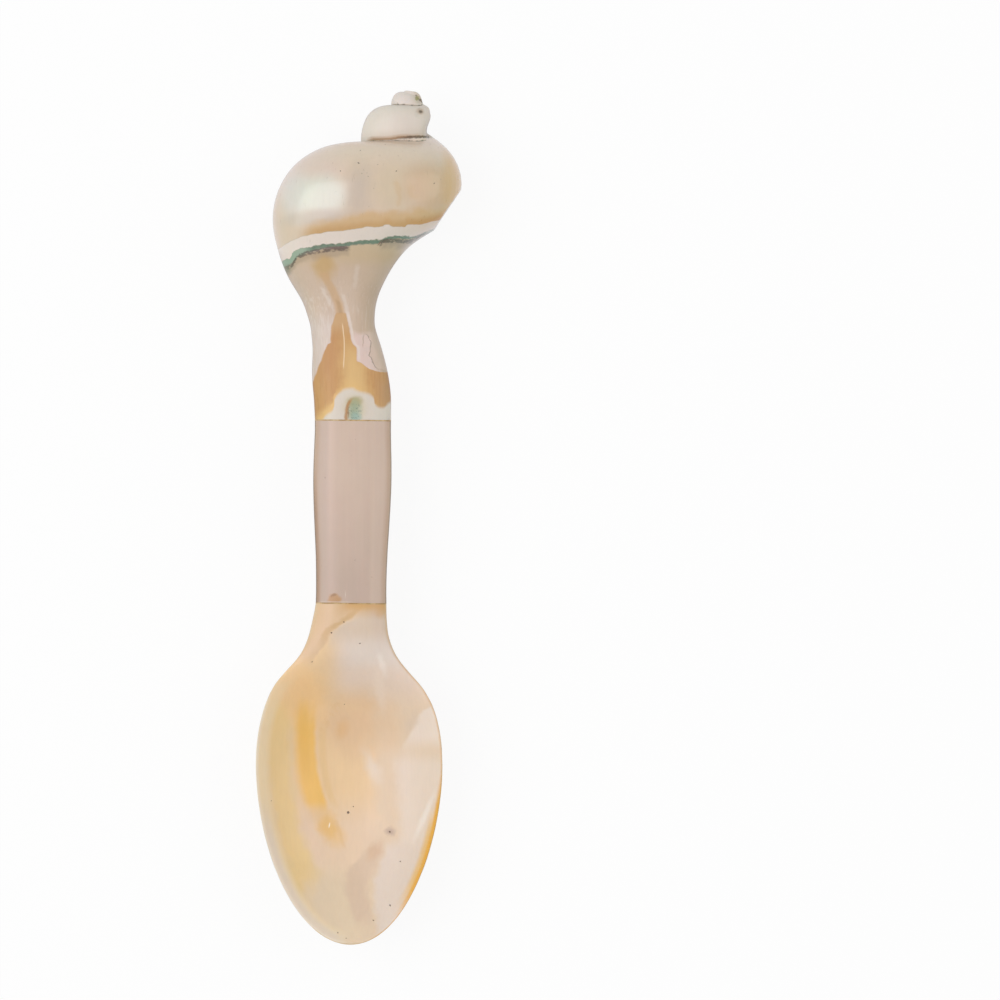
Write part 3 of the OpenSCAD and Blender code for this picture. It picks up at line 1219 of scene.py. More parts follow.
@dataclass
class PearlBowl(CarvedPiece):
    """The pointed oval bowl with its neck, in gold and white mother-of-pearl."""

    node: str = "bowl"
    piece: str = "pearl_bowl"
    slot: str = "gold_nacre"

    def finish(self) -> Nacre:
        """Gives the bowl's shell: white and gold layers, with an amber one at the rim."""
        layers = self._wide() + self._neck() + self._narrow() + self._edges() + self._flaws()
        return Nacre(
            "gold_and_white_nacre", "e8c99e", layers, roughness=0.42, lustre=1.45, coat=0.1, film_ior=1.5,
        )

    @staticmethod
    def _wide() -> tuple[Layer, ...]:
        """Gives the wide soft layers of the hollow.

        Returns:
            The layers, the lowest first.
        """
        low = Beyond(Way.DOWN, -15.0, 8.0)
        left = Side(LEFT_ZONE, Way.LEFT, 3.0, Drift.CLOUDY)
        right = Side(RIGHT_ZONE, Way.RIGHT, 3.6, Drift.CLOUDY)
        return (
            # The ground of the hollow: duller at the low end, and golden at the left.
            Layer("e5cbae", (Beyond(Way.DOWN, -7.0, 8.0),)),
            Layer("e5cb9f", (left,)),
            Layer("f4ce90", (Side(LEFT_ZONE, Way.LEFT, 6.0), Beyond(Way.UP, 8.5, 9.0))),
            Layer("e0c58c", (left, low)),
            Layer("e9cb8c", (Vein(YELLOW, 0.8, 1.8, tail=5.0, drift=Drift.WAVY),), 0.7),
            # The right side, which is greyer, and the white patch at its upper rim.
            Layer("ddc7aa", (right,)),
            Layer("e4ceb5", (right, Beyond(Way.UP, 9.0, 6.0))),
            Layer("e2d3c2", (Side(PALE_EDGE, Way.RIGHT, 3.0, Drift.WAVY), Beyond(Way.DOWN, 2.0, 4.0))),
            Layer("e6d8c9", (Side(PALE_EDGE, Way.RIGHT, 1.0, Drift.FINE), Beyond(Way.UP, 3.6, 4.0))),
            # The warm patch in the middle.
            Layer("e0bf99", (Oval((0.8, 7.0), (5.2, 4.6), 0.0, 0.7, Drift.CLOUDY),), 0.9),
            # The low end, with the white patch at its right and the grey-brown lane beside it.
            Layer(
                "decaac",
                (Beyond(Way.DOWN, -17.0, 6.0), Oval((-1.8, -22.4), (5.0, 8.6), 12.0, 0.5, Drift.CLOUDY)),
            ),
            Layer("dccdbd", (Side(PEARL_LEFT, Way.RIGHT, 1.6, Drift.WAVY), Beyond(Way.DOWN, -12.5, 3.0))),
            Layer("d6bea4", (Lane(HOLLOW_LEFT, HOLLOW_RIGHT, 1.6, Drift.WAVY, 3.0),), 0.95),
            Layer("d2b08c", (Oval((4.0, -14.0), (0.8, 1.6), -40.0, 0.7, Drift.WAVY),), 0.6),
        )

    @staticmethod
    def _neck() -> tuple[Layer, ...]:
        """Gives the layers of the neck: rosy white, under a golden one that ends in a slanting edge.

        Returns:
            The layers, the lowest first.
        """
        right = Side(GOLD_EDGE, Way.RIGHT, 2.5, Drift.WAVY)
        gold = Side(GOLD_EDGE, Way.LEFT, 0.6, Drift.FINE)
        return (
            # The rosy white of the right side.
            Layer("e5d1bf", (right, Beyond(Way.UP, 12.2, 5.0), Beyond(Way.RIGHT, -2.4, 5.0))),
            Layer("e1d3c6", (right, Beyond(Way.UP, 16.6, 3.0), Beyond(Way.RIGHT, -1.0, 4.5)), 0.9),
            Layer("d7c3ad", (right, Beyond(Way.UP, 21.0, 4.0))),
            # The golden layer of the left side, and its slanting edge.
            Layer("eccca0", (Side(GOLD_EDGE, Way.LEFT, 3.0, Drift.WAVY), Beyond(Way.UP, 11.0, 5.0))),
            Layer("dcbd97", (gold, Beyond(Way.UP, 17.0, 3.5))),
            Layer(
                "cdaa79",
                (Vein(GOLD_EDGE, 0.2, 1.0, shift=-0.6, drift=Drift.WAVY), Beyond(Way.UP, 20.5, 3.0)),
                0.75,
            ),
            # The brown shades at the joint.
            Layer("d5b184", (Beyond(Way.UP, 25.0, 2.0), Beyond(Way.RIGHT, -2.4, 4.0)), 0.8),
            Layer("d0a364", (Beyond(Way.UP, 26.0, 1.2), Beyond(Way.RIGHT, -1.0, 3.0)), 0.8),
            Layer("cfa263", (Oval((5.4, 26.4), (1.1, 1.6), -25.0, 0.5, Drift.WAVY),), 0.4),
        )

    @staticmethod
    def _narrow() -> tuple[Layer, ...]:
        """Gives the streaks and patches, with a painted glint among them.

        Returns:
            The layers, the lowest first.
        """
        streak = (
            Side(STREAK_LEFT, Way.RIGHT, 1.9, Drift.FINE), Side(STREAK_RIGHT, Way.LEFT, 0.9, Drift.FINE),
            Beyond(Way.UP, -7.0, 3.0), Beyond(Way.DOWN, 8.8, 7.0),
        )
        return (
            # The golden streak at the left, and the golden patch over it.
            Layer("f0c88f", (Oval((-7.6, 11.4), (3.0, 4.6), 5.0, 0.7, Drift.WAVY),), 0.9),
            Layer("eec069", streak),
            Layer(
                "eabb5f",
                (Vein(((-4.0, -6.6), (1.0, -7.4), (7.4, -7.7), (12.0, -7.6)), 0.3, 0.9, tail=4.0),),
                0.6,
            ),
            Layer(
                "e1bf87",
                (Vein(((-8.0, -1.8), (-2.0, -4.0), (4.0, -4.6), (8.0, -4.4)), 0.2, 0.8, tail=3.0),),
                0.5,
            ),
            # The patch under the streak, and the torn marks in the middle.
            Layer("e6bb72", (Oval((-3.4, -10.2), (1.6, 2.8), 34.0, 0.7, Drift.WAVY),), 0.85),
            Layer(
                "dfbb89",
                (Oval((-3.2, 8.4), (0.8, 3.2), -28.0, 0.8, Drift.TORN), Grain(0.8, threshold=0.52)),
                0.5,
            ),
            Layer("e0b680", (Oval((-1.4, 6.0), (0.9, 1.4), -18.0, 0.8, Drift.TORN),), 0.6),
            # Small pale and dull places, and a painted glint.
            Layer("d8c5af", (Oval((10.2, 7.6), (0.8, 2.0), -32.0, 0.7, Drift.WAVY),), 0.6),
            Layer("eee2d6", (Oval((5.2, 16.9), (0.5, 1.8), 16.0, 0.7, Drift.TORN),), 0.7),
            Layer("ecdac8", (Oval((4.8, 12.9), (0.8, 3.0), 8.0, 0.8, Drift.TORN),), 0.6),
            Layer("e3d5c5", (Oval((3.6, -0.2), (0.9, 2.6), 26.0, 0.8, Drift.WAVY),), 0.7),
            # A painted glint: a thin bright streak by the right rim.
            Layer("ece4da", (Oval((12.3, -8.2), (0.4, 3.4), -22.0, 0.8, Drift.FINE),), 0.8),
            Layer("ddb985", (Vein(((-14.0, -0.6), (-11.0, -1.6), (-8.5, -2.4)), 0.1, 0.4, tail=1.0),), 0.4),
        )

    @staticmethod
    def _edges() -> tuple[Layer, ...]:
        """Gives the layers that show at the rim.

        Returns:
            The layers, the lowest first.
        """
        left = Beyond(Way.LEFT, -1.0, 4.0)
        right = Beyond(Way.RIGHT, -2.0, 3.0)
        low_right = Side(RIM_START, Way.RIGHT, 2.0)
        low = Beyond(Way.DOWN, -8.0, 8.0)
        return (
            # The pale rim at the left.
            Layer("ecd9b4", (Near(Trace.OUTLINE, 1.3, 1.4), left, Beyond(Way.DOWN, 12.0, 8.0)), 0.8),
            Layer("dfd1bd", (Near(Trace.OUTLINE, 0.9, 1.2), left, low), 0.9),
            Layer("ecdfcc", (Near(Trace.OUTLINE, 0.15, 0.6), left, Beyond(Way.DOWN, 11.0, 6.0)), 0.7),
            # The thin brown rim at the upper right, and the amber one under it.
            Layer("d3ac7c", (Near(Trace.OUTLINE, 0.05, 0.45, 0.04), right, Beyond(Way.UP, -8.0, 3.0)), 0.85),
            Layer(
                "e0b972",
                (Near(Trace.OUTLINE, 0.9, 0.9, 0.05), low_right, low, Beyond(Way.UP, -21.0, 6.0)),
                0.9,
            ),
            Layer(
                "dda632", (Near(Trace.OUTLINE, 0.4, 0.5, 0.06), low_right, Beyond(Way.UP, -22.5, 6.0)), 0.95,
            ),
            Layer("cb9530", (Near(Trace.OUTLINE, 0.1, 0.22, 0.03), low_right), 0.75),
            Layer("c9a25c", (Near(Trace.OUTLINE, 0.05, 0.2), Beyond(Way.DOWN, -26.5, 1.0)), 0.8),
        )

    @staticmethod
    def _flaws() -> tuple[Layer, ...]:
        """Gives the small flaws, and a painted glint.

        Returns:
            The layers, the lowest first.
        """
        return (
            Layer("ac9788", (Oval((6.7, -10.7), (0.75, 0.6), soft=0.7, drift=Drift.TORN), Front()), 0.7),
            # A painted glint: a tiny bright spot in the patch under the streak.
            Layer("fff4e4", (Oval((-3.3, -9.8), (0.09, 0.4), -10.0, 0.5),), 0.9),
            Layer("3f3128", (Specks(BOWL_PINHOLES), Front()), 0.9, -0.08),
        )


# The pinholes of the bar with their radii.
BAR_PINHOLES = (
    (0.5, 53.7, 0.08), (-4.4, 47.4, 0.08), (0.6, 34.0, 0.07), (-0.2, 51.0, 0.05), (3.4, 31.2, 0.06),
    (-4.9, 33.0, 0.06),
)


@dataclass
class PearlBar(CarvedPiece):
    """The straight bar with its bevels, in rose-grey mother-of-pearl."""

    node: str = "handle_bar"
    piece: str = "pearl_bar"
    slot: str = "rose_nacre"
    ridge_sharpness: float = 0.3
    ridge_angle: float = 8.0
    end_length: float = 0.05

    def _sharpness(self, edge: bpy.types.MeshEdge, angle: float) -> float:
        """Gives how sharp an edge stays: the long ridges are rubbed round, and the ends stay sharp.

        Args:
            edge: The edge.
            angle: How many degrees the surface turns there.

        Returns:
            A value from 0, where the edge is rounded away, to 1.
        """
        start, end = (self.made.data.vertices[i].co / MM for i in edge.vertices)
        if abs(start.y - end.y) < self.end_length:
            return super()._sharpness(edge, angle)
        return self.ridge_sharpness if angle > self.ridge_angle else 0.0

    def finish(self) -> Nacre:
        """Gives the bar's shell: one even layer, with painted shade at its edges and left bevel, and painted
        light on its right bevel.

        Returns:
            The finish.
        """
        front = Front()
        layers = (
            # Slow changes of tone along the bar.
            Layer("c1ac9b", (Beyond(Way.DOWN, 39.0, 18.0),)),
            Layer("bca797", (Beyond(Way.DOWN, 32.0, 8.0), Oval((0.5, 30.0), (2.4, 8.0), soft=0.6)), 0.6),
            Layer("d0baa7", (Oval((-1.5, 51.0), (3.0, 8.0), soft=0.9, drift=Drift.CLOUDY),), 0.6),
            Layer("c9afa0", (Grain(2.6, (1, 3, 1), 0.52, 0.3, 8.0),), 0.3),
            # The bevels, with painted shade on the left one and painted light on the right one, and painted
            # shade along the edges, darkest at the left.
            Layer("beac9d", (Beyond(Way.LEFT, -3.9, 0.9),), 0.6),
            Layer("d0bba6", (Beyond(Way.RIGHT, 3.1, 0.8),), 0.5),
            Layer("bc9f87", (Near(Trace.OUTLINE, 0.3, 1.0),), 0.7),
            Layer(
                "94715a",
                (Near(Trace.OUTLINE, 0.15, 0.8), Beyond(Way.LEFT, 0.0), Beyond(Way.DOWN, 46.0, 10.0), front),
                0.7,
            ),
            Layer("755032", (Near(Trace.OUTLINE, 0.06, 0.24, 0.01), front), 0.85),
            # The amber chip at the lower joint, the fine pale lines by it, and the pinholes.
            Layer("b98d58", (Oval((-2.7, 27.4), (1.1, 0.95), soft=0.35, drift=Drift.TORN), front), 0.8),
            Layer("8e6a3e", (Oval((-2.8, 28.2), (0.5, 0.2), 20.0, 0.6, Drift.FRAYED), front), 0.6),
            Layer("d8c8b6", (Vein(((-5.6, 27.1), (0.5, 27.1)), 0.03, 0.08, across=True), front), 0.5),
            Layer("e3d9cb", (Vein(((27.4, -0.9), (29.2, -0.9)), 0.02, 0.08), front), 0.5),
            Layer("a08a7c", (Specks(BAR_PINHOLES), front), 0.7, -0.04),
        )
        return Nacre(
            "rose_nacre", "cbb5a3", layers, growth=(1.0, 50.0, 1.0), growth_size=0.4, growth_strength=0.03,
            roughness=0.44, lustre=1.45, coat=0.1, film_ior=1.5,
        )


# Where the layers of the finial end, and its pinholes with their radii.
BAND_TOP = (
    (-14.5, 83.6), (-12.5, 84.8), (-11.5, 85.4), (-10.5, 85.9), (-9.5, 86.4), (-8.0, 86.9), (-6.0, 87.2),
    (-4.0, 87.5), (-2.0, 87.7), (0.0, 88.0), (2.0, 88.3), (4.6, 88.5), (5.2, 88.8), (6.6, 88.5), (8.1, 88.5),
    (8.6, 88.8), (10.6, 88.9), (12.0, 89.2), (14.0, 89.8), (16.0, 90.4),
)
RIM_TOP = (
    (-14.0, 85.4), (-12.2, 86.3), (-10.3, 87.4), (-7.3, 88.4), (-2.3, 89.5), (2.6, 90.5), (7.6, 90.9),
    (15.0, 91.5),
)
GREEN_TOP = (
    (-14.5, 81.5), (-12.4, 82.5), (-11.2, 83.0), (-10.5, 83.1), (-10.1, 84.1), (-9.0, 84.7), (-7.0, 85.1),
    (-5.0, 85.5), (-2.0, 85.7), (0.0, 86.0), (2.0, 86.3), (4.0, 86.4), (5.6, 86.8), (7.0, 87.0), (9.5, 87.0),
    (11.0, 87.5), (12.0, 87.9), (13.5, 88.5), (15.5, 89.4),
)
GREEN_FOOT = (
    (-14.5, 80.7), (-12.4, 81.4), (-11.2, 81.9), (-10.4, 82.3), (-9.8, 82.8), (-9.0, 83.6), (-7.0, 84.2),
    (-5.0, 84.7), (-2.0, 85.0), (0.0, 85.4), (2.0, 85.6), (4.0, 85.7), (4.8, 86.2), (7.0, 86.5), (9.0, 86.6),
    (10.0, 86.8), (11.0, 87.2), (12.0, 87.5), (13.5, 88.2), (15.5, 89.1),
)
TAN_LINE = ((72.6, -2.1), (75.6, -2.5), (77.5, -3.2), (79.0, -4.0), (80.2, -4.7), (81.4, -5.0))
TONGUE_LEFT = (
    (57.0, -9.0), (62.0, -7.1), (63.8, -6.3), (64.7, -6.0), (66.1, -5.5), (67.8, -4.8), (69.3, -4.1),
    (69.6, -3.7), (71.4, -3.7), (72.8, -3.4), (73.8, -3.1), (75.0, -2.7),
)
TONGUE_RIGHT = (
    (64.4, 8.0), (64.8, 5.3), (64.9, 3.9), (65.6, 2.2), (66.2, 1.4), (66.7, 0.6), (68.7, 0.5), (69.5, -0.1),
    (70.3, -0.4), (71.7, -0.8), (73.1, -1.1), (74.5, -1.4), (75.0, -1.7),
)
CRACK = (
    (64.8, 5.8), (65.2, 5.0), (65.6, 3.6), (66.5, 3.2), (67.8, 2.7), (69.8, 2.9), (70.5, 2.4),
    (71.4, 1.8),
)
SCALLOP = (
    (-7.0, 55.6), (-4.9, 56.9), (-4.3, 57.7), (-3.3, 58.5), (-3.0, 60.2), (-2.2, 61.3), (-0.6, 62.1),
    (1.4, 61.5), (2.8, 61.1), (3.4, 60.6), (3.8, 59.4), (4.8, 58.9), (5.6, 59.5), (6.6, 60.8),
)
SPOT_EDGE = ((56.0, -1.1), (58.4, -1.05), (59.6, -0.7), (60.8, 0.1))
AMBER = (
    Side(TONGUE_LEFT, Way.RIGHT, 0.3, Drift.FINE), Side(TONGUE_RIGHT, Way.LEFT, 0.3, Drift.FINE),
    Beyond(Way.DOWN, 74.3, 0.5),
)
# Lines of the dark stains under the green line, which also carry the painted shadow under them.
STAIN_AND_SHADOW_LEFT = (
    (-11.8, 81.3), (-11.2, 81.7), (-10.4, 81.9), (-9.6, 83.0), (-8.6, 83.7), (-7.0, 84.2), (-5.0, 84.5),
    (-2.2, 84.8), (-0.4, 84.8),
)
STAIN_MIDDLE = ((-5.4, 84.7), (-4.0, 84.8), (-2.3, 84.9), (-0.6, 85.0))
STAIN_AND_SHADOW_RIGHT = ((4.0, 85.2), (4.5, 85.8), (5.4, 86.2), (7.0, 86.2), (8.8, 86.2), (10.4, 86.8), (12.2, 87.6))
SPIRE_FOOT = ((-5.0, 102.6), (6.0, 102.7), (16.0, 104.0))
WORN_SEAM = (
    (1.6, 102.65), (3.2, 102.8), (5.2, 102.9), (7.1, 103.1), (9.1, 103.3), (11.0, 103.4), (12.2, 103.5),
)
BODY_PINHOLES = (
    (0.9, 100.9, 0.08), (0.6, 98.8, 0.13), (3.8, 98.5, 0.06), (-2.4, 97.4, 0.09), (6.8, 97.5, 0.11),
    (-3.6, 98.7, 0.06), (1.2, 97.0, 0.06), (2.2, 96.6, 0.07), (3.1, 94.7, 0.06), (-3.0, 94.1, 0.05),
    (13.0, 95.6, 0.09), (14.0, 96.3, 0.07), (2.4, 91.6, 0.06), (4.9, 101.9, 0.06), (12.2, 102.2, 0.08),
    (2.0, 97.1, 0.05),
)
TIP_PINHOLES = ((9.8, 110.2, 0.12), (10.5, 109.5, 0.2), (10.9, 109.1, 0.12), (6.8, 108.9, 0.08))


@dataclass
class SnailFinial(CarvedPiece):
    """The finial: its neck, the snail's body whorl and the spire, in one piece of shell."""

    node: str = "finial"
    piece: str = "snail_finial"
    slot: str = "snail_nacre"
    top_y: float = 109.4
    flat_x: float = 12.9
    flat_end_y: float = 104.0
    flat_sharpness: float = 0.6
    dents: tuple[Dent, ...] = (
        Dent((10.6, 107.6, 12.6), 0.9, 0.16, (-0.2, -0.1, -1.0)),
        Dent((12.4, 104.4, 9.5), 2.6, 0.5, (-1.0, 0.0, 0.0)),
        Dent((11.7, 108.8, 9.5), 1.3, -0.3, (-1.0, -0.15, 0.0)),
        Dent((10.0, 110.6, 9.5), 1.2, -0.22, (-0.4, -1.0, 0.0)),
        Dent((2.6, 70.3, 12.6), 1.1, 0.14),
        Dent((2.9, 68.0, 12.6), 1.2, 0.16),
        Dent((4.0, 65.8, 11.8), 1.3, 0.16),
        Dent((0.4, 58.6, 12.2), 1.4, 0.12),
        Dent((6.5, 57.2, 10.2), 0.8, 0.2, (-1.0, 0.0, 0.0)),
    )

    def _sharpness(self, edge: bpy.types.MeshEdge, angle: float) -> float:
        """Gives how sharp an edge stays: the top of the spire is rounded, and so is the ground flat.

        Args:
            edge: The edge.
            angle: How many degrees the surface turns there.

        Returns:
            A value from 0, where the edge is rounded away, to 1.
        """
        corners = [self.made.data.vertices[i].co / MM for i in edge.vertices]
        if min(corner.y for corner in corners) > self.top_y:
            return 0.0
        if min(corner.x for corner in corners) > self.flat_x and corners[0].y < self.flat_end_y:
            return self.flat_sharpness
        return super()._sharpness(edge, angle)

    def finish(self) -> Nacre:
        """Gives the finial's shell, from the amber layer of its neck to the white spire.

        Returns:
            The finish.
        """
        matt = (Side(SPIRE_FOOT, Way.UP, 0.3), Beyond(Way.DOWN, 84.5, 2.0))
        layers = self._neck() + self._tongue() + self._joint() + self._body() + self._band() + self._spire()
        return Nacre("snail_nacre", "c4ad96", layers, matt, growth=(1.0, 8.0, 1.0), growth_size=0.45)

    @staticmethod
    def _neck() -> tuple[Layer, ...]:
        """Gives the grey and white layers of the neck.

        Returns:
            The layers, the lowest first.
        """
        low = Beyond(Way.DOWN, 80.0, 7.0)
        pale = Side(((60.0, -3.0), (70.0, -2.8), (75.6, -3.4), (80.0, -6.0)), Way.LEFT, 1.6, Drift.WAVY)
        mid = Side(((60.0, 1.5), (70.0, 0.6), (78.0, 0.6), (84.0, 3.0)), Way.LEFT, 3.0, Drift.WAVY)
        front = Front()
        return (
            # The grey ground, from the amber layer up to the green line.
            Layer("cdb7a3", (mid, low), 0.9),
            Layer("c3ac8b", (Beyond(Way.UP, 82.6, 2.6),), 0.9),
            Layer("c8b29e", (pale, low), 0.85),
            Layer("d1c1b8", (pale, Beyond(Way.DOWN, 73.6, 4.0)), 0.8),
            Layer(
                "bfa791",
                (Side(((60.0, 1.0), (70.0, 0.8), (78.0, 1.4)), Way.RIGHT, 2.0), Beyond(Way.DOWN, 79.0, 3.0)),
                0.8,
            ),
            Layer(
                "c4b09f",
                (Side(((60.0, -6.2), (68.0, -6.4), (76.0, -7.6), (82.0, -10.6)), Way.LEFT, 1.2), low),
                0.7,
            ),
            # Fine streaks along the neck.
            Layer("d9ccc2", (Grain(0.34, (1, 22, 1), 0.56, 0.16), pale, Beyond(Way.DOWN, 77.2, 3.0)), 0.5),
            Layer("b5a08c", (Grain(0.32, (1, 26, 1), 0.6, 0.14, 5.0), low), 0.25),
            Layer("d8cabe", (Grain(0.3, (1, 24, 1), 0.62, 0.14, 9.0), low), 0.3),
            # The tan patch under the green line, and the lines that run down from it.
            Layer("be9c66", (Oval((-4.9, 82.0), (1.7, 2.1), 8.0, 0.6, Drift.WAVY), front), 0.85),
            Layer("c49f74", (Vein(TAN_LINE, 0.35, 0.7, drift=Drift.FINE, tail=0.8), front), 0.7),
            Layer(
                "a9885f",
                (Vein(((72.6, -2.0), (75.0, -2.3), (77.0, -2.9)), 0.12, 0.4, drift=Drift.FINE), front),
                0.5,
            ),
            Layer(
                "d9cabd",
                (Vein(((75.0, -3.7), (77.0, -4.5), (79.0, -5.6)), 0.1, 0.4, drift=Drift.TORN), front),
                0.7,
            ),
            Layer(
                "d9cabd",
                (Vein(((73.0, -0.7), (75.7, -1.3), (78.0, -2.0)), 0.1, 0.35, drift=Drift.TORN), front),
                0.6,
            ),
            Layer(
                "d2c2b4",
                (Vein(((78.0, 0.0), (80.5, 0.4), (82.6, 0.6)), 0.1, 0.5, drift=Drift.TORN), front),
                0.5,
            ),
        )

    @staticmethod
    def _tongue() -> tuple[Layer, ...]:
        """Gives the amber layer that ends in a tongue, and the cracked edge on its right.

        Returns:
            The layers, the lowest first.
        """
        right_of = (Side(TONGUE_RIGHT, Way.RIGHT, 0.3, Drift.FINE), Beyond(Way.DOWN, 75.0, 1.0))
        cleft = Side(((-20.0, 71.2), (0.0, 71.2), (5.0, 70.5)), Way.DOWN, 1.6, Drift.WAVY)
        front = Front()
        return (
            # The amber and its shades.
            Layer("c09056", AMBER),
            Layer("b07d44", (*AMBER, Grain(0.45, (1, 14, 1), 0.54, 0.25, 2.0)), 0.5),
            Layer("b6834c", (*AMBER, Oval((-3.8, 67.5), (1.6, 4.0), -18.0, 0.6, Drift.WAVY)), 0.7),
            Layer("d8b478", (*AMBER, Oval((0.2, 64.4), (2.0, 5.2), 10.0, 0.8, Drift.WAVY)), 0.85),
            Layer("b68b60", (*AMBER, Oval((5.9, 62.2), (1.4, 3.4), -6.0, 0.7, Drift.WAVY)), 0.85),
            Layer("c6a276", (*AMBER, Beyond(Way.UP, 71.6, 3.0)), 0.8),
            Layer(
                "deb877",
                (*AMBER, Side(SCALLOP, Way.DOWN, 3.2, Drift.WAVY, 1.1), Beyond(Way.LEFT, 2.5, 8.0)),
                0.9,
            ),
            # The fine pale line in the tongue.
            Layer(
                "ecd6b4",
                (Vein(((65.0, -1.6), (68.6, -1.5), (71.5, -1.7), (73.0, -1.9)), 0.03, 0.1), front),
                0.8,
            ),
            # The rosy cleft at the right of the tongue, with its crack.
            Layer("ddc5bd", (*right_of, cleft, Side(((60.0, 4.5), (75.0, 3.0)), Way.LEFT, 2.0), front), 0.85),
            Layer("dfd0c6", (Vein(TONGUE_RIGHT[4:], 0.08, 0.3, shift=0.35, drift=Drift.FINE), front), 0.8),
            Layer("c9b4a3", (Side(CRACK, Way.RIGHT, 0.2, Drift.FINE), cleft, *right_of, front), 0.85),
            Layer("857762", (Vein(CRACK, 0.02, 0.09, drift=Drift.TORN, tail=0.8), front), 0.7, -0.06),
            Layer(
                "a8927c",
                (Vein(((68.5, 1.5), (70.4, 1.6), (71.3, 1.9)), 0.03, 0.1, drift=Drift.FINE), front),
                0.6,
                -0.04,
            ),
        )

    @staticmethod
    def _joint() -> tuple[Layer, ...]:
        """Gives the white scallop over the joint and the green spot in it.

        Returns:
            The layers, the lowest first.
        """
        front = Front()
        return (
            # The white scallop.
            Layer("d5cbbe", (Side(SCALLOP, Way.DOWN, 0.9, Drift.FINE), front)),
            # The green spot and its brown edge.
            Layer("c8bc9c", (Oval((0.3, 58.9), (1.9, 2.1), soft=0.4, drift=Drift.FINE), front), 0.6),
            Layer("a79a66", (Oval((0.3, 59.9), (1.2, 0.8), 10.0, 0.5, Drift.TORN), front), 0.85),
            Layer("96a487", (Oval((0.3, 58.4), (1.0, 1.7), -8.0, 0.7, Drift.TORN), front), 0.9),
            Layer("8faea5", (Oval((0.5, 57.3), (0.8, 0.8), soft=0.6, drift=Drift.TORN), front), 0.7),
            Layer("a87638", (Vein(SPOT_EDGE, 0.05, 0.4, drift=Drift.FINE), front), 0.85),
            Layer(
                "5f7468",
                (Oval((0.4, 58.3), (1.1, 1.5), soft=0.3), Grain(0.28, threshold=0.6, soft=0.08), front),
                0.75,
            ),
            Layer(
                "7e5f35",
                (Vein(((56.8, -0.6), (58.2, -0.75), (59.6, -0.4)), 0.04, 0.12, drift=Drift.FRAYED), front),
                0.7,
            ),
            # The darker rim of the amber layer along the outline, a painted shade at the edge.
            Layer("a8753f", (*AMBER, Side(SCALLOP, Way.UP, 0.9), Near(Trace.OUTLINE, 0.05, 0.5)), 0.7),
        )

    @staticmethod
    def _body() -> tuple[Layer, ...]:
        """Gives the layers of the body whorl, over the white band.

        Returns:
            The layers, the lowest first.
        """
        over = Side(BAND_TOP, Way.UP, 0.15, Drift.FINE)
        front = Front()
        return (
            # The ground, paler towards the spire.
            Layer("d3bea7", (over,)),
            Layer("dac6b3", (over, Beyond(Way.UP, 99.4, 4.0))),
            Layer("dac4b8", (over, Oval((-7.0, 97.0), (5.0, 3.0), 20.0, 0.6)), 0.8),
            # The pale patch with its greenish middle, partly pale shell and partly painted highlight, a
            # painted shade under it, and the darker places round it.
            Layer("d9d4ce", (over, Oval((-9.6, 93.4), (2.4, 3.6), soft=0.6)), 0.8),
            Layer("d4d5c8", (over, Oval((-5.2, 93.4), (4.1, 3.2), soft=0.5)), 0.9),
            # Painted shade under the pale patch, at its low left.
            Layer("c1b3a4", (over, Oval((-6.2, 89.9), (4.6, 1.2), 6.0, 0.6)), 0.85),
            Layer("c1b2a0", (over, Oval((0.8, 94.4), (2.0, 3.8), -6.0, 0.8, Drift.WAVY)), 0.9),
            Layer("cebd9f", (over, Oval((6.6, 94.6), (3.6, 3.4), soft=0.7)), 0.8),
            # The brown right side, with two faint streaks.
            Layer("c6a682", (over, Oval((12.4, 94.8), (4.2, 3.4), -15.0, 0.6)), 0.9),
            Layer("d2ad79", (over, Beyond(Way.RIGHT, 14.6, 2.4)), 0.8),
            Layer(
                "c9a878",
                (over, Vein(((91.5, 7.1), (93.7, 7.3), (96.2, 6.7)), 0.1, 0.9, drift=Drift.WAVY), front),
                0.35,
            ),
            Layer(
                "c9a878",
                (over, Vein(((92.5, 9.9), (94.0, 9.5), (96.0, 8.9)), 0.1, 0.9, drift=Drift.WAVY), front),
                0.3,
            ),
            # The warm edge under the spire, and the ochre that darkens towards the white band.
            Layer("d8bc9e", (over, Beyond(Way.UP, 101.6, 1.6), Beyond(Way.LEFT, 2.0, 8.0)), 0.7),
            Layer(
                "cba876",
                (over, Side(RIM_TOP, Way.DOWN, 1.8, Drift.WAVY, 0.2), Beyond(Way.RIGHT, -7.6, 4.5)),
                0.9,
            ),
            Layer(
                "c2975f",
                (over, Side(BAND_TOP, Way.DOWN, 1.4, Drift.FINE, 0.9), Beyond(Way.RIGHT, -7.6, 4.0)),
                0.9,
            ),
            Layer(
                "c0873c",
                (over, Side(BAND_TOP, Way.DOWN, 1.4, Drift.FINE, 0.8), Beyond(Way.RIGHT, 9.0, 6.0)),
                0.8,
            ),
            # The pinholes.
            Layer("54463a", (Specks(BODY_PINHOLES), front), 0.8, -0.06),
        )

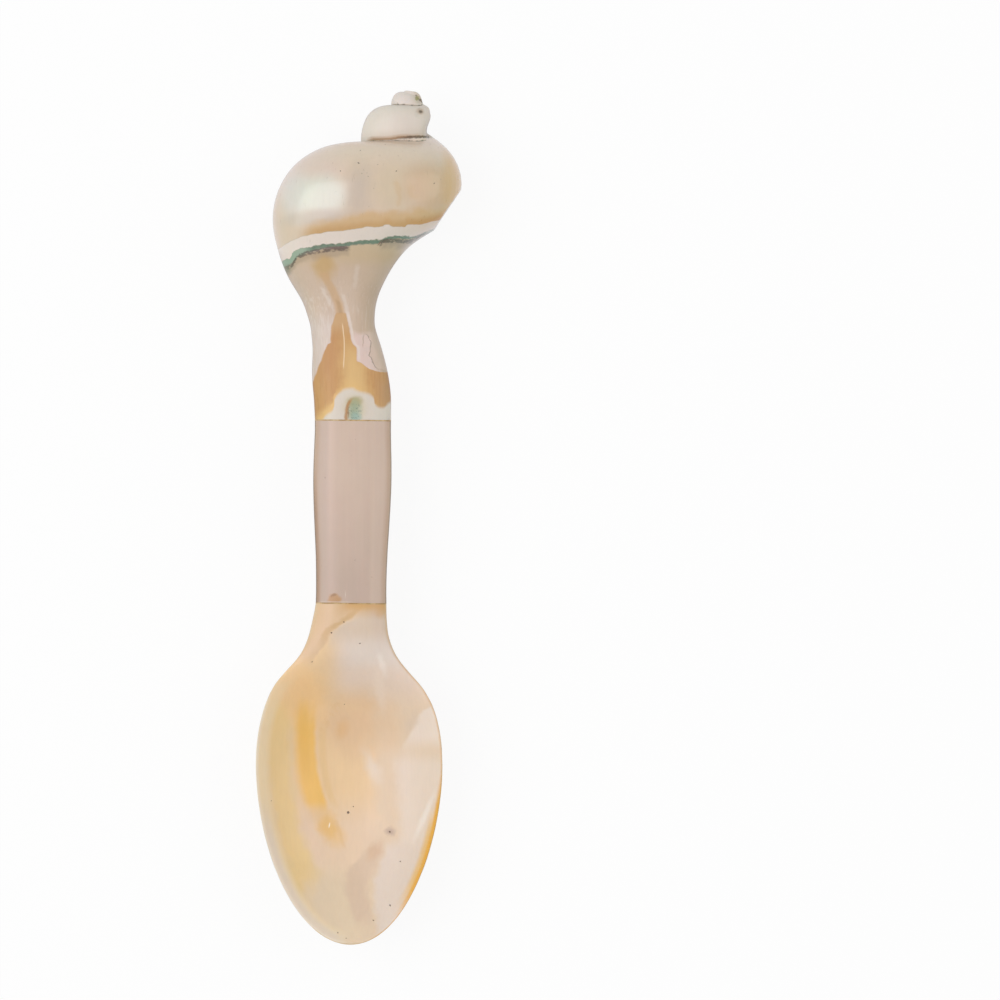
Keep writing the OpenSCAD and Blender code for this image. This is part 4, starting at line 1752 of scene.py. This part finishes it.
    @staticmethod
    def _band() -> tuple[Layer, ...]:
        """Gives the white band, the green line under it, and the dark stains of that line with a painted
        shadow under them.

        Returns:
            The layers, the lowest first.
        """
        band = (Side(BAND_TOP, Way.DOWN, 0.2, Drift.FINE), Side(GREEN_TOP, Way.UP, 0.25, Drift.TORN))
        line = (Side(GREEN_TOP, Way.DOWN, 0.25, Drift.TORN), Side(GREEN_FOOT, Way.UP, 0.3, Drift.TORN))
        front = Front()
        return (
            # The white band.
            Layer("dfd1c6", band, 1.0, -0.05),
            Layer("d9c4b2", (*band, Beyond(Way.RIGHT, 9.0, 6.0)), 0.8),
            # The green line, paler at its left end.
            Layer("5f7863", line, 1.0, -0.06),
            Layer("49624f", (*line, Grain(0.5, threshold=0.54, soft=0.2, shift=6.0)), 0.6),
            Layer("93a590", (*line, Beyond(Way.LEFT, -7.6, 2.0)), 0.9),
            # The brown marks under the line: a soft painted shadow, with ragged dark stains in it.
            Layer(
                "a08c76",
                (Vein(STAIN_AND_SHADOW_LEFT, 0.2, 1.0, across=True, tail=1.0, drift=Drift.WAVY, shift=-0.5), front),
                0.6,
            ),
            Layer(
                "9a8572",
                (Vein(STAIN_AND_SHADOW_RIGHT, 0.1, 1.1, across=True, tail=1.0, drift=Drift.WAVY, shift=-0.5), front),
                0.6,
            ),
            Layer(
                "43362a",
                (
                    Vein(STAIN_AND_SHADOW_LEFT, 0.2, 0.3, across=True, tail=0.8, drift=Drift.FRAYED),
                    Grain(0.5, (2, 1, 1), 0.42, 0.2, 2.0),
                    front,
                ),
                0.8,
            ),
            Layer(
                "43331f",
                (
                    Vein(STAIN_AND_SHADOW_RIGHT, 0.18, 0.3, across=True, tail=0.5, drift=Drift.FRAYED),
                    Grain(0.5, (2, 1, 1), 0.4, 0.2, 2.0),
                    front,
                ),
                0.85,
            ),
            Layer(
                "5a463c", (Vein(STAIN_MIDDLE, 0.1, 0.4, across=True, tail=1.2, drift=Drift.TORN), front), 0.7,
            ),
            # A fine brown crack across the line, and the dull green at the left rim.
            Layer(
                "6b4a35",
                (
                    Vein(((85.3, 3.7), (85.9, 4.2), (86.5, 4.8)), 0.06, 0.16, tail=0.4, drift=Drift.FINE),
                    front,
                ),
                0.85,
            ),
            Layer("7c7a62", (Oval((-11.4, 80.9), (0.6, 1.2), -38.0, 0.7, Drift.TORN), front), 0.8),
        )

    @staticmethod
    def _spire() -> tuple[Layer, ...]:
        """Gives the layers of the spire, and the dirt and painted shade in the seams.

        Returns:
            The layers, the lowest first.
        """
        front = Front()
        up = Side(SPIRE_FOOT, Way.UP, 0.15)
        tip = (Side(((-5.0, 108.6), (20.0, 109.0)), Way.UP, 0.3), Beyond(Way.RIGHT, 5.6, 0.4))
        under_tip = Side(((-5.0, 109.5), (20.0, 109.8)), Way.DOWN, 0.3)
        return (
            # The ground, with the shades of the lower whorl and of the tip.
            Layer("dbd1c6", (up, front)),
            Layer("d1c2b4", (Beyond(Way.UP, 101.0, 8.0), Front(False))),
            Layer("d6cabe", (up, Beyond(Way.RIGHT, 8.0, 6.0)), 0.8),
            Layer(
                "cbbdae",
                (
                    up,
                    Side(((-5.0, 103.2), (6.0, 104.0), (12.0, 104.6)), Way.DOWN, 1.8),
                    Beyond(Way.RIGHT, 3.0, 3.0),
                ),
                0.8,
            ),
            Layer("ddd2cb", tip, 0.9),
            Layer("c6b8a5", (*tip, Beyond(Way.RIGHT, 9.4, 2.0)), 0.8),
            # The worn seam over the body whorl, with painted shade along its groove: softer above it at the
            # left, ragged and darkest at the right.
            Layer(
                "8a6b4b",
                (Vein(WORN_SEAM, 0.06, 0.2, across=True, tail=1.6, drift=Drift.FINE), front),
                0.85,
                -0.06,
            ),
            Layer(
                "b08a62",
                (
                    Vein(WORN_SEAM, 0.1, 0.4, across=True, tail=1.2, drift=Drift.FINE, shift=0.2),
                    Beyond(Way.LEFT, 10.0, 5.0),
                    front,
                ),
                0.55,
            ),
            Layer(
                "52402e",
                (
                    Vein(WORN_SEAM, 0.08, 0.22, across=True, tail=0.3, drift=Drift.FRAYED),
                    Beyond(Way.RIGHT, 7.4, 4.0),
                    front,
                ),
                0.8,
            ),
            # Dirt and painted shade in the other seams, where the surface folds inwards.
            Layer("8a7862", (Near(Trace.SEAM, 0.03, 0.14, 0.05), under_tip), 0.75),
            Layer(
                "5b5748",
                (
                    Near(Trace.SEAM, 0.05, 0.18, 0.1),
                    Grain(0.6, threshold=0.54, soft=0.1, shift=4.0),
                    under_tip,
                ),
                0.8,
            ),
            # The hole at the tip and the chip in the last whorl, with their dirt.
            Layer("8f8a4c", (Oval((10.0, 109.8), (0.32, 0.4), soft=0.5, drift=Drift.FRAYED), front), 0.8),
            Layer("4a4636", (Specks(TIP_PINHOLES), front), 0.8),
            Layer("b39a84", (Oval((10.5, 107.6), (0.6, 0.5), soft=0.5, drift=Drift.FRAYED), front), 0.7),
            Layer("4f4034", (Oval((10.6, 107.55), (0.3, 0.2), -35.0, 0.6, Drift.FRAYED), front), 0.9, -0.05),
        )


@dataclass
class Joints:
    """The two joints: the glue that shows as a thin line, and the brass pins inside."""

    glue: Glue = Glue()
    brass: DrawnBrass = DrawnBrass()
    glue_nodes: tuple[str, ...] = ("lower_glue", "upper_glue")
    pin_nodes: tuple[str, ...] = ("lower_pin", "upper_pin")

    def build(self, nodes: dict[str, bpy.types.Object]) -> None:
        """Dresses the nodes of the joints, whose shape is right as it is.

        Args:
            nodes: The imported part's nodes by name.
        """
        for names, finish in ((self.glue_nodes, self.glue), (self.pin_nodes, self.brass)):
            material = finish.make()
            for name in names:
                nodes[name].material_slots[0].material = material
                LOG.info("dressed %s", name)


@dataclass
class Softbox:
    """A square lamp that faces the spoon.

    Attributes:
        name: The lamp's name.
        direction: Where it hangs, seen from the spoon.
        size: How wide it is.
        brightness: How bright its face is.
        colour: The colour of its light, as six hexadecimal digits.
        distance: How far it is from the spoon.
    """

    name: str
    direction: tuple[float, float, float]
    size: float
    brightness: float
    colour: str = "ffffff"
    distance: float = 900.0

    def build(self, target: Vector) -> None:
        """Hangs the lamp.

        Args:
            target: The place that it faces.
        """
        lamp = bpy.data.lights.new(self.name, "AREA")
        lamp.shape = "SQUARE"
        lamp.size = self.size * MM
        lamp.energy = self.brightness * math.pi * lamp.size**2
        lamp.color = paint(self.colour)[:3]
        holder = bpy.data.objects.new(self.name, lamp)
        towards = Vector(self.direction).normalized()
        holder.location = (target + towards * self.distance) * MM
        holder.rotation_euler = towards.to_track_quat("Z", "Y").to_euler()
        bpy.context.scene.collection.objects.link(holder)


@dataclass
class Studio:
    """The white table, the lamps and the camera of the photograph.

    Attributes:
        picture_w: How wide a part of the scene the picture shows.
        picture_centre: The middle of that part.
        picture_turn: How many degrees the camera is turned.
        focus_z: The height at which the picture has that width.
        camera_distance: How far over that height the camera hangs.
        camera_reach: How far it sees.
        sensor: How wide its sensor is.
        table_w: How wide the table is.
        table_grey: How much light the table throws back.
        table_shine: How far it shows as white, whatever its light is.
        sky: How bright the room is on the spoon.
        boxes: The lamps.
    """

    picture_w: float = 164.03
    picture_centre: Point = (24.25, 44.05)
    picture_turn: float = 0.5944
    focus_z: float = 9.1
    camera_distance: float = 1500.0
    camera_reach: float = 100000.0
    sensor: float = 36.0
    table_w: float = 12000.0
    table_grey: float = 0.9
    table_shine: float = 0.9
    sky: float = 0.58
    boxes: tuple[Softbox, ...] = (
        Softbox("left_box", (-0.62, 0.06, 0.72), 820.0, 1.85),
        Softbox("right_box", (0.8, 0.2, 0.6), 700.0, 1.05),
    )

    def build(self) -> None:
        """Sets up the whole studio."""
        self._camera()
        self._table()
        self._sky()
        target = Vector((*self.picture_centre, self.focus_z))
        for box in self.boxes:
            box.build(target)
        bpy.context.scene.view_settings.view_transform = "Standard"

    def _camera(self) -> None:
        """Hangs the camera straight over the picture's middle."""
        lens = bpy.data.cameras.new("camera")
        lens.sensor_width = self.sensor
        lens.lens = self.sensor * self.camera_distance / self.picture_w
        lens.clip_end = self.camera_reach * MM
        camera = bpy.data.objects.new("camera", lens)
        camera.location = Vector((*self.picture_centre, self.camera_distance + self.focus_z)) * MM
        camera.rotation_euler = (0.0, 0.0, math.radians(self.picture_turn))
        bpy.context.scene.collection.objects.link(camera)
        bpy.context.scene.camera = camera

    def _table(self) -> None:
        """Lays the white table, which shows as white but keeps the spoon's shadow."""
        bpy.ops.object.select_all(action="DESELECT")
        bpy.ops.mesh.primitive_plane_add(size=self.table_w * MM)
        table = bpy.context.object
        table.name = "table"
        mixture = Mixture("white_table")
        seen = self._seen(mixture)
        matt = mixture.node("ShaderNodeBsdfDiffuse")
        mixture.feed(matt.inputs["Color"], (self.table_grey, self.table_grey, self.table_grey, 1.0))
        white = mixture.node("ShaderNodeEmission")
        mixture.feed(white.inputs["Color"], (1.0, 1.0, 1.0, 1.0))
        mix = mixture.node("ShaderNodeMixShader")
        mixture.feed(mix.inputs[0], mixture.math("MULTIPLY", seen, self.table_shine))
        mixture.feed(mix.inputs[1], matt.outputs[0])
        mixture.feed(mix.inputs[2], white.outputs[0])
        table.data.materials.append(mixture.close(mix))

    def _sky(self) -> None:
        """Lights the room evenly from all sides, and shows it as white."""
        world = bpy.data.worlds.new("room")
        bpy.context.scene.world = world
        world.use_nodes = True
        tree = world.node_tree
        background = tree.nodes["Background"]
        background.inputs["Color"].default_value = (1.0, 1.0, 1.0, 1.0)
        rays = tree.nodes.new("ShaderNodeLightPath")
        bright = rays.outputs["Is Camera Ray"]
        for ray in ("Is Glossy Ray", "Is Transmission Ray"):
            either = tree.nodes.new("ShaderNodeMath")
            either.operation = "MAXIMUM"
            tree.links.new(bright, either.inputs[0])
            tree.links.new(rays.outputs[ray], either.inputs[1])
            bright = either.outputs[0]
        level = tree.nodes.new("ShaderNodeMapRange")
        tree.links.new(bright, level.inputs["Value"])
        level.inputs["To Min"].default_value = self.sky
        level.inputs["To Max"].default_value = 1.0
        tree.links.new(level.outputs[0], background.inputs["Strength"])

    @staticmethod
    def _seen(mixture: Mixture) -> Socket:
        """Gives 1 where the camera, a reflection or glass looks at the table.

        Args:
            mixture: The table's tree.

        Returns:
            The result, 0 or 1.
        """
        rays = mixture.node("ShaderNodeLightPath")
        seen = rays.outputs["Is Camera Ray"]
        for ray in ("Is Glossy Ray", "Is Transmission Ray"):
            seen = mixture.math("MAXIMUM", seen, rays.outputs[ray])
        return seen


def main() -> None:
    """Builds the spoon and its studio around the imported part."""
    logging.basicConfig(level=logging.INFO, format="%(message)s")
    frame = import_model()
    nodes = frame["nodes"]
    Studio().build()
    for carved in (PearlBowl(), PearlBar(), SnailFinial()):
        piece = carved.build(nodes)
        LOG.info("carved %s with %d faces", piece.name, len(piece.data.polygons))
    Joints().build(nodes)


if __name__ == "__main__":
    main()
